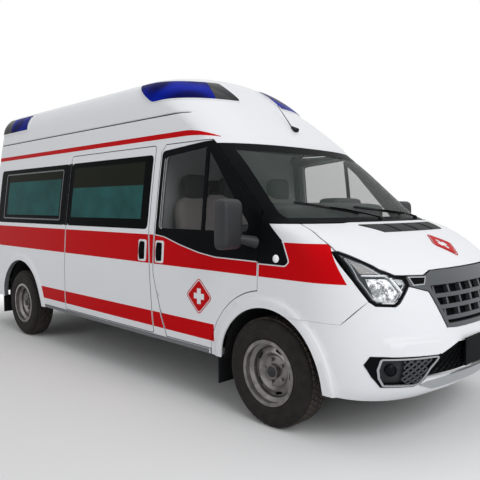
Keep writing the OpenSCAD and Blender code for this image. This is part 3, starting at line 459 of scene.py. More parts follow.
# one node with its settings; an input is a value or another node's output
def addNode(tree, kind, inputs=None, **settings):
    made = tree.nodes.new(kind)
    for key, value in settings.items():
        setattr(made, key, value)
    for key, value in (inputs or {}).items():
        if isinstance(value, bpy.types.NodeSocket):
            tree.links.new(value, made.inputs[key])
        else:
            made.inputs[key].default_value = value
    return made


# geometry node trees for what repeats: blocks turned by an attribute, and four-sided wire cells
def newTree(name, sockets):
    tree = bpy.data.node_groups.new(name, "GeometryNodeTree")
    tree.interface.new_socket("Geometry", in_out="INPUT", socket_type="NodeSocketGeometry")
    for label, kind in sockets:
        tree.interface.new_socket(label, in_out="INPUT", socket_type=kind)
    tree.interface.new_socket("Geometry", in_out="OUTPUT", socket_type="NodeSocketGeometry")
    return tree, tree.nodes.new("NodeGroupInput"), tree.nodes.new("NodeGroupOutput")


def endTree(tree, source, sink, instance, rotation=None):
    inputs = {"Points": source.outputs["Geometry"], "Instance": instance}
    placed = addNode(tree, "GeometryNodeInstanceOnPoints", inputs)
    if rotation is not None:
        tree.links.new(rotation, placed.inputs["Rotation"])
    real = addNode(tree, "GeometryNodeRealizeInstances", {"Geometry": placed.outputs["Instances"]})
    inputs = {"Geometry": real.outputs["Geometry"], "Material": source.outputs["Material"]}
    done = addNode(tree, "GeometryNodeSetMaterial", inputs)
    tree.links.new(done.outputs["Geometry"], sink.inputs["Geometry"])
    return tree


def makeBlockTree():
    sockets = [("Block size", "NodeSocketVector"), ("Material", "NodeSocketMaterial")]
    tree, source, sink = newTree("repeatedBlocks", sockets)
    block = addNode(tree, "GeometryNodeMeshCube", {"Size": source.outputs["Block size"]})
    turn = addNode(tree, "GeometryNodeInputNamedAttribute", {"Name": "turn"}, data_type="FLOAT_VECTOR")
    euler = addNode(tree, "FunctionNodeEulerToRotation", {"Euler": turn.outputs["Attribute"]})
    return endTree(tree, source, sink, block.outputs["Mesh"], euler.outputs["Rotation"])


def makeCellTree():
    sockets = [("Cell radius", "NodeSocketFloat"), ("Wire radius", "NodeSocketFloat"),
               ("Cell shape", "NodeSocketVector"), ("Material", "NodeSocketMaterial")]
    tree, source, sink = newTree("wireCells", sockets)
    circle = "GeometryNodeCurvePrimitiveCircle"
    ring = addNode(tree, circle, {"Resolution": 4, "Radius": source.outputs["Cell radius"]})
    wire = addNode(tree, circle, {"Resolution": 4, "Radius": source.outputs["Wire radius"]})
    inputs = {"Curve": ring.outputs["Curve"], "Profile Curve": wire.outputs["Curve"]}
    cell = addNode(tree, "GeometryNodeCurveToMesh", inputs)
    inputs = {"Geometry": cell.outputs["Mesh"], "Scale": source.outputs["Cell shape"]}
    shape = addNode(tree, "GeometryNodeTransform", inputs)
    return endTree(tree, source, sink, shape.outputs["Geometry"])


blockTree = makeBlockTree()
cellTree = makeCellTree()


# points carry the instances; the result becomes a plain mesh, bent onto the skin where a map is given
def makeRepeat(name, tree, points, inputs, body, turns=None, place=None):
    mesh = bpy.data.meshes.new(name)
    mesh.from_pydata([tuple(map(float, p)) for p in points], [], [])
    attribute = mesh.attributes.new("turn", "FLOAT_VECTOR", "POINT")
    turns = np.zeros((len(points), 3)) if turns is None else np.array(turns)
    attribute.data.foreach_set("vector", turns.astype(np.float32).ravel())
    piece = bpy.data.objects.new(name, mesh)
    bpy.context.scene.collection.objects.link(piece)
    modifier = piece.modifiers.new("repeat", "NODES")
    modifier.node_group = tree
    for item in tree.interface.items_tree:
        if item.item_type == "SOCKET" and item.in_out == "INPUT" and item.name in inputs:
            modifier[item.identifier] = inputs[item.name]
    bpy.context.view_layer.update()
    done = bpy.data.meshes.new_from_object(piece.evaluated_get(bpy.context.evaluated_depsgraph_get()))
    piece.modifiers.remove(modifier)
    piece.data = done
    if place is not None:
        v = np.array([tuple(p.co) for p in done.vertices])
        at, normal = skinPoints(place, v[:, 0], v[:, 1])
        done.vertices.foreach_set("co", (at + normal * v[:, 2:]).ravel())
        done.update()
    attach(piece, body)
    return piece


# materials
def newMaterial(name, code, roughness, metallic=0.0, **sockets):
    material = bpy.data.materials.new(name)
    material.use_nodes = True
    shader = material.node_tree.nodes["Principled BSDF"]
    shader.inputs["Base Color"].default_value = hexColour(code)
    shader.inputs["Roughness"].default_value = roughness
    shader.inputs["Metallic"].default_value = metallic
    for key, value in sockets.items():
        shader.inputs[key.replace("_", " ")].default_value = value
    return material, material.node_tree, shader


# fine surface relief with a grain size in millimetres
def addGrain(tree, shader, grainMm, strength, distance=0.0004):
    place = addNode(tree, "ShaderNodeTexCoord").outputs["Object"]
    noise = addNode(tree, "ShaderNodeTexNoise", {"Vector": place, "Scale": 1000 / grainMm, "Detail": 3.0})
    inputs = {"Height": noise.outputs["Fac"], "Strength": strength, "Distance": distance}
    bump = addNode(tree, "ShaderNodeBump", inputs)
    tree.links.new(bump.outputs["Normal"], shader.inputs["Normal"])


# two shades of one colour in patches of a size in millimetres
def addMottle(tree, shader, codeA, codeB, sizeMm, spots=(0.35, 0.65), detail=4.0):
    place = addNode(tree, "ShaderNodeTexCoord").outputs["Object"]
    noise = addNode(tree, "ShaderNodeTexNoise", {"Vector": place, "Scale": 1000 / sizeMm, "Detail": detail})
    ramp = addNode(tree, "ShaderNodeValToRGB", {"Fac": noise.outputs["Fac"]})
    for element, spot, code in zip(ramp.color_ramp.elements, spots, (codeA, codeB)):
        element.position = spot
        element.color = hexColour(code)
    tree.links.new(ramp.outputs["Color"], shader.inputs["Base Color"])


# a material with one colour or two in patches, and a fine relief
def plainMaterial(name, code, roughness, metallic=0.0, mottle=None, grain=None, **sockets):
    material, tree, shader = newMaterial(name, code, roughness, metallic, **sockets)
    if mottle:
        addMottle(tree, shader, *mottle)
    if grain:
        addGrain(tree, shader, *grain)
    return material


# 1 where a value lies between two others, else 0
def within(tree, value, low, high):
    above = addNode(tree, "ShaderNodeMath", {0: value, 1: low}, operation="GREATER_THAN").outputs[0]
    below = addNode(tree, "ShaderNodeMath", {0: value, 1: high}, operation="LESS_THAN").outputs[0]
    return addNode(tree, "ShaderNodeMath", {0: above, 1: below}, operation="MULTIPLY").outputs[0]


def objectAxes(tree):
    place = addNode(tree, "ShaderNodeTexCoord")
    return addNode(tree, "ShaderNodeSeparateXYZ", {"Vector": place.outputs["Object"]}).outputs


# red bands on the white body; the film stops short of every panel edge
stripes = {
    "beltLow": 1.000, "beltHigh": 1.234, "beltTipX": fx + 0.588, "beltTipZ": 0.973, "beltLean": 0.60,
    "sillLow": 0.490, "sillHigh": 0.614, "sillFront": fx - 0.505, "sillRear": rx + 0.20, "sillArch": 0.560,
    "roofLow": 2.008, "roofHigh": 2.052, "roofFront": fx - 0.62, "roofBend": 0.36, "roofFall": (0.22, 0.56),
    "edge": 0.0085, "white": "#E3E5E9", "red": "#C20810", "filmGloss": 0.02,
}
door = {"front": -0.085, "rear": -1.237, "postX": -0.660, "postZ": 1.440, "skewZ": 0.883, "skew": 0.170,
        "archSeam": 0.550, "inset": 0.018, "skin": 0.020, "wall": 0.055, "topCut": 0.05,
        "kink": (0.03, 0.05, 0.06)}
slide = {"front": -1.322, "rear": -2.720, "toe": 0.080, "corner": 0.03}
arches = {"front": 0.435, "rear": 0.490, "frontBand": 0.493, "rearBand": 0.542, "flare": 0.012,
          "ease": 0.014, "sideY": 0.80}
enamel = {"Specular_IOR_Level": 0.16, "Coat_Weight": 0.02, "Coat_Roughness": 0.05}


# two-coat enamel: white with red bands, glossy under a clear coat, faint orange peel
def makeBodyPaint():
    material, tree, shader = newMaterial("bodyEnamel", stripes["white"], 0.30, **enamel)
    x, y, z = objectAxes(tree)
    halfGap, gloss = van["gap"] / 2, enamel["Specular_IOR_Level"]
    tip = stripes["beltTipX"] + stripes["beltLean"] * stripes["beltTipZ"]
    doorSlope = door["skew"] / (door["skewZ"] - van["doorLow"])
    slideSlope = slide["toe"] / (van["beltZ"] - van["doorLow"])
    slideFoot = fx + slide["front"] + slideSlope * van["beltZ"] + halfGap
    made = {"x": x, "z": z, "belt": within(tree, z, stripes["beltLow"], stripes["beltHigh"]),
            "sill": within(tree, z, stripes["sillLow"], stripes["sillHigh"]),
            "sillX": within(tree, x, stripes["sillRear"], stripes["sillFront"])}
    # each step has a name, an operation and its inputs, which are numbers or earlier names
    sums = [
        ("lean", "MULTIPLY_ADD", "z", -stripes["beltLean"], tip),
        ("behind", "LESS_THAN", "x", "lean"),
        ("belt", "MULTIPLY", "belt", "behind"),
        ("sill", "MULTIPLY", "sill", "sillX"),
        ("dx", "SUBTRACT", "x", rx),
        ("dz", "SUBTRACT", "z", van["hubZ"]),
        ("away", "MULTIPLY", "dz", "dz"),
        ("away", "MULTIPLY_ADD", "dx", "dx", "away"),
        ("away", "SQRT", "away"),
        ("clear", "GREATER_THAN", "away", stripes["sillArch"]),
        ("sill", "MULTIPLY", "sill", "clear"),
        ("bands", "MAXIMUM", "belt", "sill"),
        ("under", "SUBTRACT", door["skewZ"], "z"),
        ("under", "MAXIMUM", "under", 0.0),
        ("doorEdge", "MULTIPLY_ADD", "under", doorSlope, fx + door["rear"] - halfGap),
        ("slideEdge", "MULTIPLY_ADD", "z", -slideSlope, slideFoot),
    ]
    for line in ("doorEdge", "slideEdge", fx + door["front"] + halfGap, fx + slide["rear"] - halfGap):
        sums += [
            ("away", "SUBTRACT", "x", line),
            ("away", "ABSOLUTE", "away"),
            ("clear", "GREATER_THAN", "away", stripes["edge"]),
            ("bands", "MULTIPLY", "bands", "clear"),
        ]
    sums += [
        ("drop", "SUBTRACT", "x", stripes["roofFront"] - stripes["roofBend"]),
        ("drop", "MAXIMUM", "drop", 0.0),
        ("drop", "MULTIPLY", "drop", "drop"),
        ("roofTop", "MULTIPLY_ADD", "drop", -stripes["roofFall"][1], stripes["roofHigh"]),
        ("roofLow", "MULTIPLY_ADD", "drop", -stripes["roofFall"][0], stripes["roofLow"]),
        ("above", "GREATER_THAN", "z", "roofLow"),
        ("below", "LESS_THAN", "z", "roofTop"),
        ("roofBand", "MULTIPLY", "above", "below"),
        ("behind", "LESS_THAN", "x", stripes["roofFront"]),
        ("roofBand", "MULTIPLY", "roofBand", "behind"),
        ("mask", "MAXIMUM", "bands", "roofBand"),
        ("gloss", "MULTIPLY_ADD", "mask", stripes["filmGloss"] - gloss, gloss),
    ]
    for name, operation, *values in sums:
        inputs = {i: made.get(value, value) for i, value in enumerate(values)}
        made[name] = addNode(tree, "ShaderNodeMath", inputs, operation=operation).outputs[0]
    inputs = {"Factor": made["mask"], "A": hexColour(stripes["white"]), "B": hexColour(stripes["red"])}
    colour = addNode(tree, "ShaderNodeMix", inputs, data_type="RGBA")
    tree.links.new(colour.outputs["Result"], shader.inputs["Base Color"])
    tree.links.new(made["gloss"], shader.inputs["Specular IOR Level"])
    addGrain(tree, shader, 9, 0.05)
    return material


bodyPaint = makeBodyPaint()
# the same enamel without bands, for the front end
whitePaint = plainMaterial("whiteEnamel", stripes["white"], 0.30, **enamel, grain=(9, 0.05))
# cast red film, cut to shape and glued on
redFilm = plainMaterial("redFilm", "#BE0C12", 0.35, Specular_IOR_Level=0.04, grain=(7, 0.06))
# moulded polypropylene: dull black with a fine leather grain
blackPlastic = plainMaterial("grainedPolypropylene", "#191A1C", 0.55, Specular_IOR_Level=0.1,
                             grain=(1.6, 0.25))
# injection moulded ABS: smooth satin black
satinBlack = plainMaterial("satinAbs", "#111214", 0.36, Specular_IOR_Level=0.012, grain=(6, 0.04))
# mirror housing: grained dark grey with a soft sheen
housingGrey = plainMaterial("grainedHousing", "#2C2D30", 0.48, Specular_IOR_Level=0.25, grain=(2.0, 0.25))
# painted grille plastic: dark grey with a metallic sheen
gunmetal = plainMaterial("gunmetalPaint", "#54575A", 0.36, 0.3, Specular_IOR_Level=0.25, grain=(3, 0.08))
# silver paint on plastic, for outlines and the lower lip
silverTrim = plainMaterial("silverPaint", "#A6A9AC", 0.30, 0.3, Specular_IOR_Level=0.3, grain=(4, 0.05))
# faceted reflectors of the head lamps; the dark and bright patches in the colour are painted reflections of
# the facets
chromeWithPaintedReflections = plainMaterial("facetedChromePaintedReflections", "#B8BCC0", 0.22, 0.6, Specular_IOR_Level=0.3,
                           mottle=("#4C4F52", "#DCDEE0", 26), grain=(14, 0.3, 0.001))
# silver wheel paint with brake dust
wheelPaint = plainMaterial("silverWheelPaint", "#7E7B79", 0.36, 0.65, Specular_IOR_Level=0.3,
                           mottle=("#6C6967", "#8C8987", 60), grain=(3, 0.06))
# vulcanised rubber: dull, slightly brown black with road dust
tyreRubber = plainMaterial("vulcanisedRubber", "#211E1C", 0.80, Specular_IOR_Level=0.2,
                           mottle=("#1D1A19", "#262322", 60), grain=(2.2, 0.3))
# the same rubber where it meets the road: paler with dust
treadRubber = plainMaterial("dustyTread", "#3C3835", 0.85, Specular_IOR_Level=0.15,
                            mottle=("#34302D", "#4A4541", 25), grain=(2.2, 0.3))
# underbody: dark corrosion guard over pressed steel
underseal = plainMaterial("underseal", "#1E1F20", 0.7, Specular_IOR_Level=0.2, grain=(5, 0.4))
# sand-cast and forged running gear
castIron = plainMaterial("castIron", "#323233", 0.6, 0.5, Specular_IOR_Level=0.3, grain=(3, 0.5))
# moulded interior trim: mid grey with a fine grain
trimGrey = plainMaterial("interiorTrim", "#686B6E", 0.6, grain=(2, 0.3))
# painted bulkhead behind the seats
bulkheadPaint = plainMaterial("bulkheadPaint", "#BBBDBF", 0.5, Specular_IOR_Level=0.2, grain=(6, 0.15))
# soft-touch moulding of the dashboard
dashPlastic = plainMaterial("dashboardPlastic", "#3F4245", 0.6, grain=(2, 0.3))
# woven seat cloth: grey with a visible weave, drawn coarser than life
seatCloth = plainMaterial("seatCloth", "#9C9896", 0.85, Sheen_Weight=0.3, mottle=("#918D8B", "#A6A2A0", 9),
                          grain=(4, 0.5))
# darker cloth of the headrests
headCloth = plainMaterial("headrestCloth", "#222326", 0.8, Sheen_Weight=0.2, mottle=("#1A1B1D", "#2C2D30", 7),
                          grain=(4, 0.5))
# laminated glass of the windscreen, faintly green
screenGlass = plainMaterial("laminatedGlass", "#3E4C45", 0.02, Specular_IOR_Level=0.22, Alpha=0.20,
                            IOR=1.5, grain=(400, 0.02))
# toughened glass of the cab doors
tintGlass = plainMaterial("toughenedGlass", "#121616", 0.02, Specular_IOR_Level=0.2, Alpha=0.22, IOR=1.5,
                          grain=(400, 0.02))
# clear polycarbonate over the head lamps
clearLens = plainMaterial("polycarbonateLens", "#B4BCC4", 0.05, Specular_IOR_Level=0.2, Alpha=0.06,
                          IOR=1.58, grain=(60, 0.03))
# ribbed polycarbonate of turn and reversing lamps
frostedLens = plainMaterial("frostedLens", "#8E8B8A", 0.25, Specular_IOR_Level=0.3, grain=(8, 0.5, 0.001))
# milky light guide
whiteLens = plainMaterial("lightGuide", "#F4F6F8", 0.2, Specular_IOR_Level=0.3, grain=(6, 0.1))
# smoked polycarbonate
darkLens = plainMaterial("smokedLens", "#101318", 0.10, Specular_IOR_Level=0.06, grain=(40, 0.05))
# amber and red acrylic of the tail lamps
amberLens = plainMaterial("amberLens", "#C2600C", 0.12, Specular_IOR_Level=0.25, grain=(6, 0.3))
redLens = plainMaterial("redLens", "#9C0A0C", 0.12, Specular_IOR_Level=0.25, grain=(6, 0.3))
# silvered mirror glass
mirrorGlass = plainMaterial("silveredGlass", "#C8CCD0", 0.03, 1.0, grain=(300, 0.01))


# tinted polycarbonate of the warning lamps: blue, with lighter patches that are painted reflections of the
# inner reflectors
blueLamp = {"shades": ("#01054E", "#0C22A0"), "patchMm": 200, "spots": (0.38, 0.72), "ribMm": 17.4533,
            "relief": 0.25}


def makeBlueLens():
    material, tree, shader = newMaterial("bluePolycarbonate", "#0A18A0", 0.26, Specular_IOR_Level=0.008)
    # two blues in patches: the lighter ones are painted reflections
    addMottle(tree, shader, *blueLamp["shades"], blueLamp["patchMm"], blueLamp["spots"], 0.0)
    place = addNode(tree, "ShaderNodeTexCoord").outputs["Object"]
    inputs = {"Vector": place, "Scale": 100 * math.pi / blueLamp["ribMm"], "Distortion": 0.0}
    ribs = addNode(tree, "ShaderNodeTexWave", inputs, bands_direction="Z")
    inputs = {"Height": ribs.outputs["Fac"], "Strength": blueLamp["relief"], "Distance": 0.002}
    bump = addNode(tree, "ShaderNodeBump", inputs)
    tree.links.new(bump.outputs["Normal"], shader.inputs["Normal"])
    return material


blueLens = makeBlueLens()
print("materials made")


# outlines of the doors and panes, x from the front axle and z
def doorLoop():
    r, hub = door["archSeam"], van["hubZ"]
    end = math.degrees(math.acos(door["front"] / r))
    start = 180 - math.degrees(math.asin((van["doorLow"] - hub) / r))
    seam = [(a, b + hub) for a, b in arc(0, 0, r, start, end, 20)]
    inward, down, up = door["kink"]
    back, top = door["rear"], van["doorTop"]
    outline = [(door["front"], door["postZ"]), (door["postX"], top), (back + door["topCut"], top),
               (back, top - door["topCut"]), (back, door["skewZ"] + up),
               (back + inward, door["skewZ"] - down), (back + door["skew"], van["doorLow"])]
    return fromAxle(outline + seam)


def slideLoop():
    front, back, low, top = slide["front"], slide["rear"], van["doorLow"], van["doorTop"]
    outline = [(front + slide["toe"], low), (front, van["beltZ"]), (front, top), (back, top), (back, low)]
    return fillet(fromAxle(outline), slide["corner"])


# panes: distances of their ends from the edges of the doors and the body
paneSet = {"corner": 0.045, "slideEnds": 0.020, "rearEnd": 0.190, "rearFront": 0.045, "doorCorner": 0.04,
           "doorBack": 0.060, "doorLow": 0.010, "doorTop": (0.025, 0.020), "postIn": 0.010,
           "noseIn": (0.090, 0.110), "noseUp": 0.050}


def doorPaneLoop():
    back, low, top = door["rear"] + paneSet["doorBack"], van["beltZ"] + paneSet["doorLow"], van["windowTop"]
    (down, up), (upper, lower) = paneSet["doorTop"], paneSet["noseIn"]
    outline = [(back, low), (back, top - down), (door["postX"] - paneSet["postIn"], top + up),
               (door["front"] - upper, low + paneSet["noseUp"]), (door["front"] - lower, low)]
    return fillet(fromAxle(outline), paneSet["doorCorner"])


def paneLoop(x0, x1):
    return fillet(boxLoop((x0, x1), (van["beltZ"], van["windowTop"])), paneSet["corner"])


slidePane = paneLoop(fx + slide["rear"] + paneSet["slideEnds"], fx + slide["front"] - paneSet["slideEnds"])
rearStart = van["tailX"] + van["rearRadius"] + paneSet["rearEnd"]
rearPane = paneLoop(rearStart, fx + slide["rear"] - paneSet["rearFront"])


# the lips of the wheel arches stand out from the skin
def archBulge(at):
    front = np.hypot(at[:, 0] - fx, at[:, 2] - van["hubZ"])
    rear = np.hypot(at[:, 0] - rx, at[:, 2] - van["hubZ"])
    f = np.clip((arches["frontBand"] + arches["ease"] - front) / arches["ease"], 0, 1)
    r = np.clip((arches["rearBand"] + arches["ease"] - rear) / arches["ease"], 0, 1)
    side = np.abs(at[:, 1]) > arches["sideY"]
    return arches["flare"] * side * np.maximum(f * f * (3 - 2 * f), r * r * (3 - 2 * r))


def archRings(x, band, a0, a1):
    radii = [band + share * arches["ease"] for share in (0.0, 0.5, 1.0)]
    return [p for r in radii for p in arc(x, van["hubZ"], r, a0, a1, 44)]


# side walls with their cut-outs; half width and lower edge of the header over the rear doors
rearHalf, headerLow = 0.767, 1.962
# the wall is cut away over the bumper, and leans forward over the cab door
wallStep = {"x": 0.302, "z": 0.515, "lean": 0.045}


def sideLoops(sign):
    z0, z1, hub, g = van["skirtZ"], van["eavesZ"], van["hubZ"], van["gap"]
    stepX, stepZ = van["tailX"] + wallStep["x"], wallStep["z"]

    def rearEdge(z):
        z = np.array(z)
        past = halfWidth(z) - van["rearRadius"] - rearHalf
        return float(backX(z) + van["rearRadius"] * (1 - math.pi / 2) - past)
    seam = door["archSeam"] + g
    turn = math.asin((z0 - hub) / seam)
    low = van["doorLow"] - g
    loop = [(fx - seam * math.cos(turn), z0), (fx - math.sqrt(seam ** 2 - (low - hub) ** 2), low)]
    inward, down, up = door["kink"]
    back, top = door["rear"] - g, van["doorTop"]
    loop += fromAxle([(back + door["skew"], low), (back + inward, door["skewZ"] - down),
                      (back, door["skewZ"] + up), (back, top - door["topCut"]),
                      (door["rear"] + door["topCut"], top + g), (door["postX"], top + g),
                      (door["postX"] + wallStep["lean"], z1)])
    loop += [(rearEdge(z), z) for z in np.linspace(z1, stepZ, 16)]
    loop += [(stepX, stepZ), (stepX, z0)]
    start = math.degrees(math.asin((z0 - hub) / arches["rear"]))
    loop += arc(rx, hub, arches["rear"], 180 - start, start, 40)
    cut = shiftLoop(slideLoop(), g) if sign < 0 else shiftLoop(slidePane, 0.001)
    return [loop, shiftLoop(rearPane, 0.001), cut]


for sign, word, side in sides:
    makePanel("sideWall" + word, sideLoops(sign), onSide(sign), sheet["wall"], bodyPaint, "van",
              "body_side_" + side, bulge=archBulge, inner=trimGrey,
              extra=archRings(rx, arches["rearBand"], 8, 172))
makePanel("slidingDoor", [slideLoop(), shiftLoop(slidePane, 0.001)], onSide(-1), sheet["wall"], bodyPaint,
          "van", "sliding_door", inner=trimGrey)
makePanel("rearHeader", [boxLoop((-rearHalf, rearHalf), (headerLow, van["eavesZ"]))], onRear,
          sheet["wall"], bodyPaint, "van", inner=trimGrey)
# grey moulding along the sill between the arches
sillStrip = {"low": 0.392, "high": 0.424, "stand": 0.004, "clear": 0.02}
for sign, word, side in sides:
    ends = (rx + arches["rearBand"] + sillStrip["clear"], fx - door["archSeam"] - sillStrip["clear"])
    makePanel("sillStrip" + word, [boxLoop(ends, (sillStrip["low"], sillStrip["high"]))], onSide(sign),
              sheet["trim"], trimGrey, "van", lift=sillStrip["stand"])
print("side walls made")

# cab doors: outer skin, inner trim, pane, black surround with a white edge, window bar
trimLow = [(-0.0855, 1.100), (-0.50, 1.104, 0.1), (-0.68, 1.126, 0.1), (-0.90, 1.172, 0.15),
           (-1.10, 1.225, 0.1), (-1.222, 1.238)]
surround = fillet(fromAxle(trimLow + [(-1.222, 1.905, 0.04), (-0.6635, 1.9505), (-0.0855, 1.4385)]), 0.0)
trimLine = [p for p in surround if p[1] < 1.240]
postCover = [(-0.0832, 1.098), (-0.0832, 1.4414), (-0.6586, 1.9566), (-0.668, 1.946), (-0.0955, 1.433),
             (-0.0955, 1.098)]
windowBar = {"x": -0.648, "width": 0.034, "line": ((-0.022, 1.895), (-0.010, 1.60), (0, 1.284))}
handle = {"doorX": door["rear"] + 0.080, "slideX": slide["front"] - 0.070, "z": 1.100,
          "bezel": (0.108, 0.178), "well": (0.066, 0.146), "corners": (0.022, 0.016), "gripShift": 0.010,
          "gripHalf": 0.072, "gripLift": (0.006, 0.016), "gripRadii": (0.0125, 0.008), "gripTurn": 0.12}
emblem = {"x": -0.668, "z": 0.800, "wide": 0.128, "high": 0.120, "arm": 0.022, "reach": 0.058,
          "corner": 1 / 6, "rim": (0.014, 0.008)}


# flat diamond with a plus cut out of it
def emblemLoops(x, z, wide, high):
    k, r = emblem["arm"] * wide / emblem["wide"], emblem["reach"] * wide / emblem["wide"]
    diamond = fillet([(x - wide, z), (x, z - high), (x + wide, z), (x, z + high)], emblem["corner"] * wide)
    plus = [(x - r, z - k), (x - k, z - k), (x - k, z - r), (x + k, z - r), (x + k, z - k), (x + r, z - k),
            (x + r, z + k), (x + k, z + k), (x + k, z + r), (x - k, z + r), (x - k, z + k), (x - r, z + k)]
    return [diamond, plus], [shiftLoop(diamond, d) for d in emblem["rim"]]


def makeEmblem(name, word, spot, size, place, body, lift, step):
    inside, rim = emblemLoops(*spot, *size)
    for label, loops in ((name, inside), (name + "Rim", rim)):
        makePanel(label + word, loops, place, sheet["film"], redFilm, body, lift=lift,
                  step=step)


def makeHandle(name, x, sign, body):
    z, place = handle["z"], onSide(sign)
    well = roundBox(x, z, *handle["well"], handle["corners"][1])
    bezel = roundBox(x, z, *handle["bezel"], handle["corners"][0])
    makePanel(name + "Bezel", [bezel, well], place, sheet["bezel"], whitePaint, body,
              lift=0.005, step=steps["finer"])
    makePanel(name + "Well", [shiftLoop(well, -0.0005)], place, sheet["strip"], satinBlack, body,
              lift=0.0015, step=steps["fine"])
    heights = np.linspace(z - handle["gripHalf"], z + handle["gripHalf"], 9)
    at, normal = skinPoints(place, np.full(9, x - handle["gripShift"]), heights)
    low, rise = handle["gripLift"]
    lift = low + rise * np.sin(np.linspace(handle["gripTurn"], math.pi - handle["gripTurn"], 9)) ** 0.5
    makeTube(name + "Grip", at + normal * lift[:, None], [handle["gripRadii"]] * 9, satinBlack, body,
             up=tuple(normal[4]))


for sign, word, side in sides:
    body, pane, place = "door_front_" + side, doorPaneLoop(), onSide(sign)
    makePanel("cabDoor" + word, [doorLoop(), shiftLoop(pane, 0.001)], place, door["skin"], bodyPaint,
              body, "door_" + side)
    makePanel("cabDoorTrim" + word, [shiftLoop(doorLoop(), -door["inset"]), shiftLoop(pane, 0.03)], place,
              door["wall"] - door["skin"], trimGrey, body, lift=-door["skin"])
    makePanel("cabDoorEdge" + word, [ribbon(resample(trimLine, steps["middle"], False), 0.016)], place,
              sheet["edging"], whitePaint, body, lift=0.0018, step=steps["small"])
    makePanel("cabDoorSurround" + word, [surround, shiftLoop(pane, -0.004)], place, sheet["trim"],
              satinBlack, body, lift=0.0040, step=steps["small"])
    makePanel("cabDoorPost" + word, [fromAxle(postCover)], place, sheet["post"], satinBlack, body,
              lift=0.0044, step=steps["small"])
    makePanel("cabDoorPane" + word, [pane], place, sheet["pane"], tintGlass, body,
              "door_glass_" + side, lift=-0.002)
    line = [p for p in pane if p[0] < fx + windowBar["x"] and p[1] < 1.850]
    line = ribbon(resample(line, steps["middle"], False), 0.006)
    makePanel("paneLine" + word, [line], place, sheet["edging"], silverTrim, body,
              lift=0.0052, step=steps["middle"])
    x = fx + windowBar["x"]
    bar = ribbon([(x + lean, z) for lean, z in windowBar["line"]], windowBar["width"])
    makePanel("windowBar" + word, [bar], place, sheet["panel"], satinBlack, body,
              lift=0.0052)
    makeHandle("cabHandle" + word, fx + handle["doorX"], sign, body)
    spot = (fx + emblem["x"], emblem["z"])
    makeEmblem("doorEmblem", word, spot, (emblem["wide"], emblem["high"]), place, body, 0.0012, steps["fine"])
makeHandle("slideHandle", fx + handle["slideX"], -1, "van")
print("cab doors made")

# privacy panes: black printed edge, dark upper half, frosted lower half
privacy = {"slide": {"x": (fx - 2.640, fx - 1.450), "z": (1.357, 1.641)},
           "rear": {"x": (fx - 4.190, fx - 2.900), "z": (1.367, 1.740)}, "dark": "#0C0E0F",
           "upper": "#23251E", "haze": ("#24403A", "#34686A"), "hazeMm": 200, "upperEdge": 0.05}


def makePrivacyGlass(name, zone):
    material, tree, shader = newMaterial(name, privacy["dark"], 0.08, Specular_IOR_Level=0.010)
    x, y, z = objectAxes(tree)
    inX = within(tree, x, *zone["x"])
    low = {0: inX, 1: within(tree, z, *zone["z"])}
    high = {0: inX, 1: within(tree, z, zone["z"][1], van["windowTop"] - privacy["upperEdge"])}
    frost, upper = (addNode(tree, "ShaderNodeMath", half, operation="MULTIPLY").outputs[0]
                    for half in (low, high))
    place = addNode(tree, "ShaderNodeTexCoord").outputs["Object"]
    inputs = {"Vector": place, "Scale": 1000 / privacy["hazeMm"], "Detail": 2.0}
    noise = addNode(tree, "ShaderNodeTexNoise", inputs).outputs["Fac"]
    dark, tint, hazeA, hazeB = (hexColour(c) for c in (privacy["dark"], privacy["upper"], *privacy["haze"]))
    first = addNode(tree, "ShaderNodeMix", {"Factor": upper, "A": dark, "B": tint}, data_type="RGBA")
    haze = addNode(tree, "ShaderNodeMix", {"Factor": noise, "A": hazeA, "B": hazeB}, data_type="RGBA")
    inputs = {"Factor": frost, "A": first.outputs["Result"], "B": haze.outputs["Result"]}
    second = addNode(tree, "ShaderNodeMix", inputs, data_type="RGBA")
    tree.links.new(second.outputs["Result"], shader.inputs["Base Color"])
    return material


for word, loop in (("slide", slidePane), ("rear", rearPane)):
    glassMaterial = makePrivacyGlass(word + "PrivacyGlass", privacy[word])
    for sign, sideWord, side in sides:
        makePanel(word + "Pane" + sideWord, [loop], onSide(sign), sheet["pane"], glassMaterial, "van",
                  "side_windows")
# the rear doors have the glass of the rear panes
rearGlass = glassMaterial
# black strips on the post between the side panes
pillars = {"doorStrip": (slide["rear"] + 0.0015, slide["rear"] + 0.024),
           "wallStrip": (slide["rear"] - 0.049, slide["rear"] - van["gap"] - 0.001)}
for sign, word, side in sides:
    for label, (x0, x1) in pillars.items():
        strip = boxLoop((fx + x0, fx + x1), (van["beltZ"], van["windowTop"]))
        makePanel(label + word, [strip], onSide(sign), sheet["strip"], satinBlack, "van",
                  lift=0.0025)
# sliding vent frame in the rear pane
vent = {"x": (fx - 4.27, fx - 2.86), "z": (1.318, 1.838), "width": 0.014, "corners": (0.03, 0.02)}
ventOuter = boxLoop(vent["x"], vent["z"])
ventLoops = [fillet(ventOuter, vent["corners"][0]),
             fillet(shiftLoop(ventOuter, -vent["width"]), vent["corners"][1])]
for sign, word, side in sides:
    makePanel("ventFrame" + word, ventLoops, onSide(sign), sheet["trim"], gunmetal, "van",
              lift=0.003, step=steps["middle"])

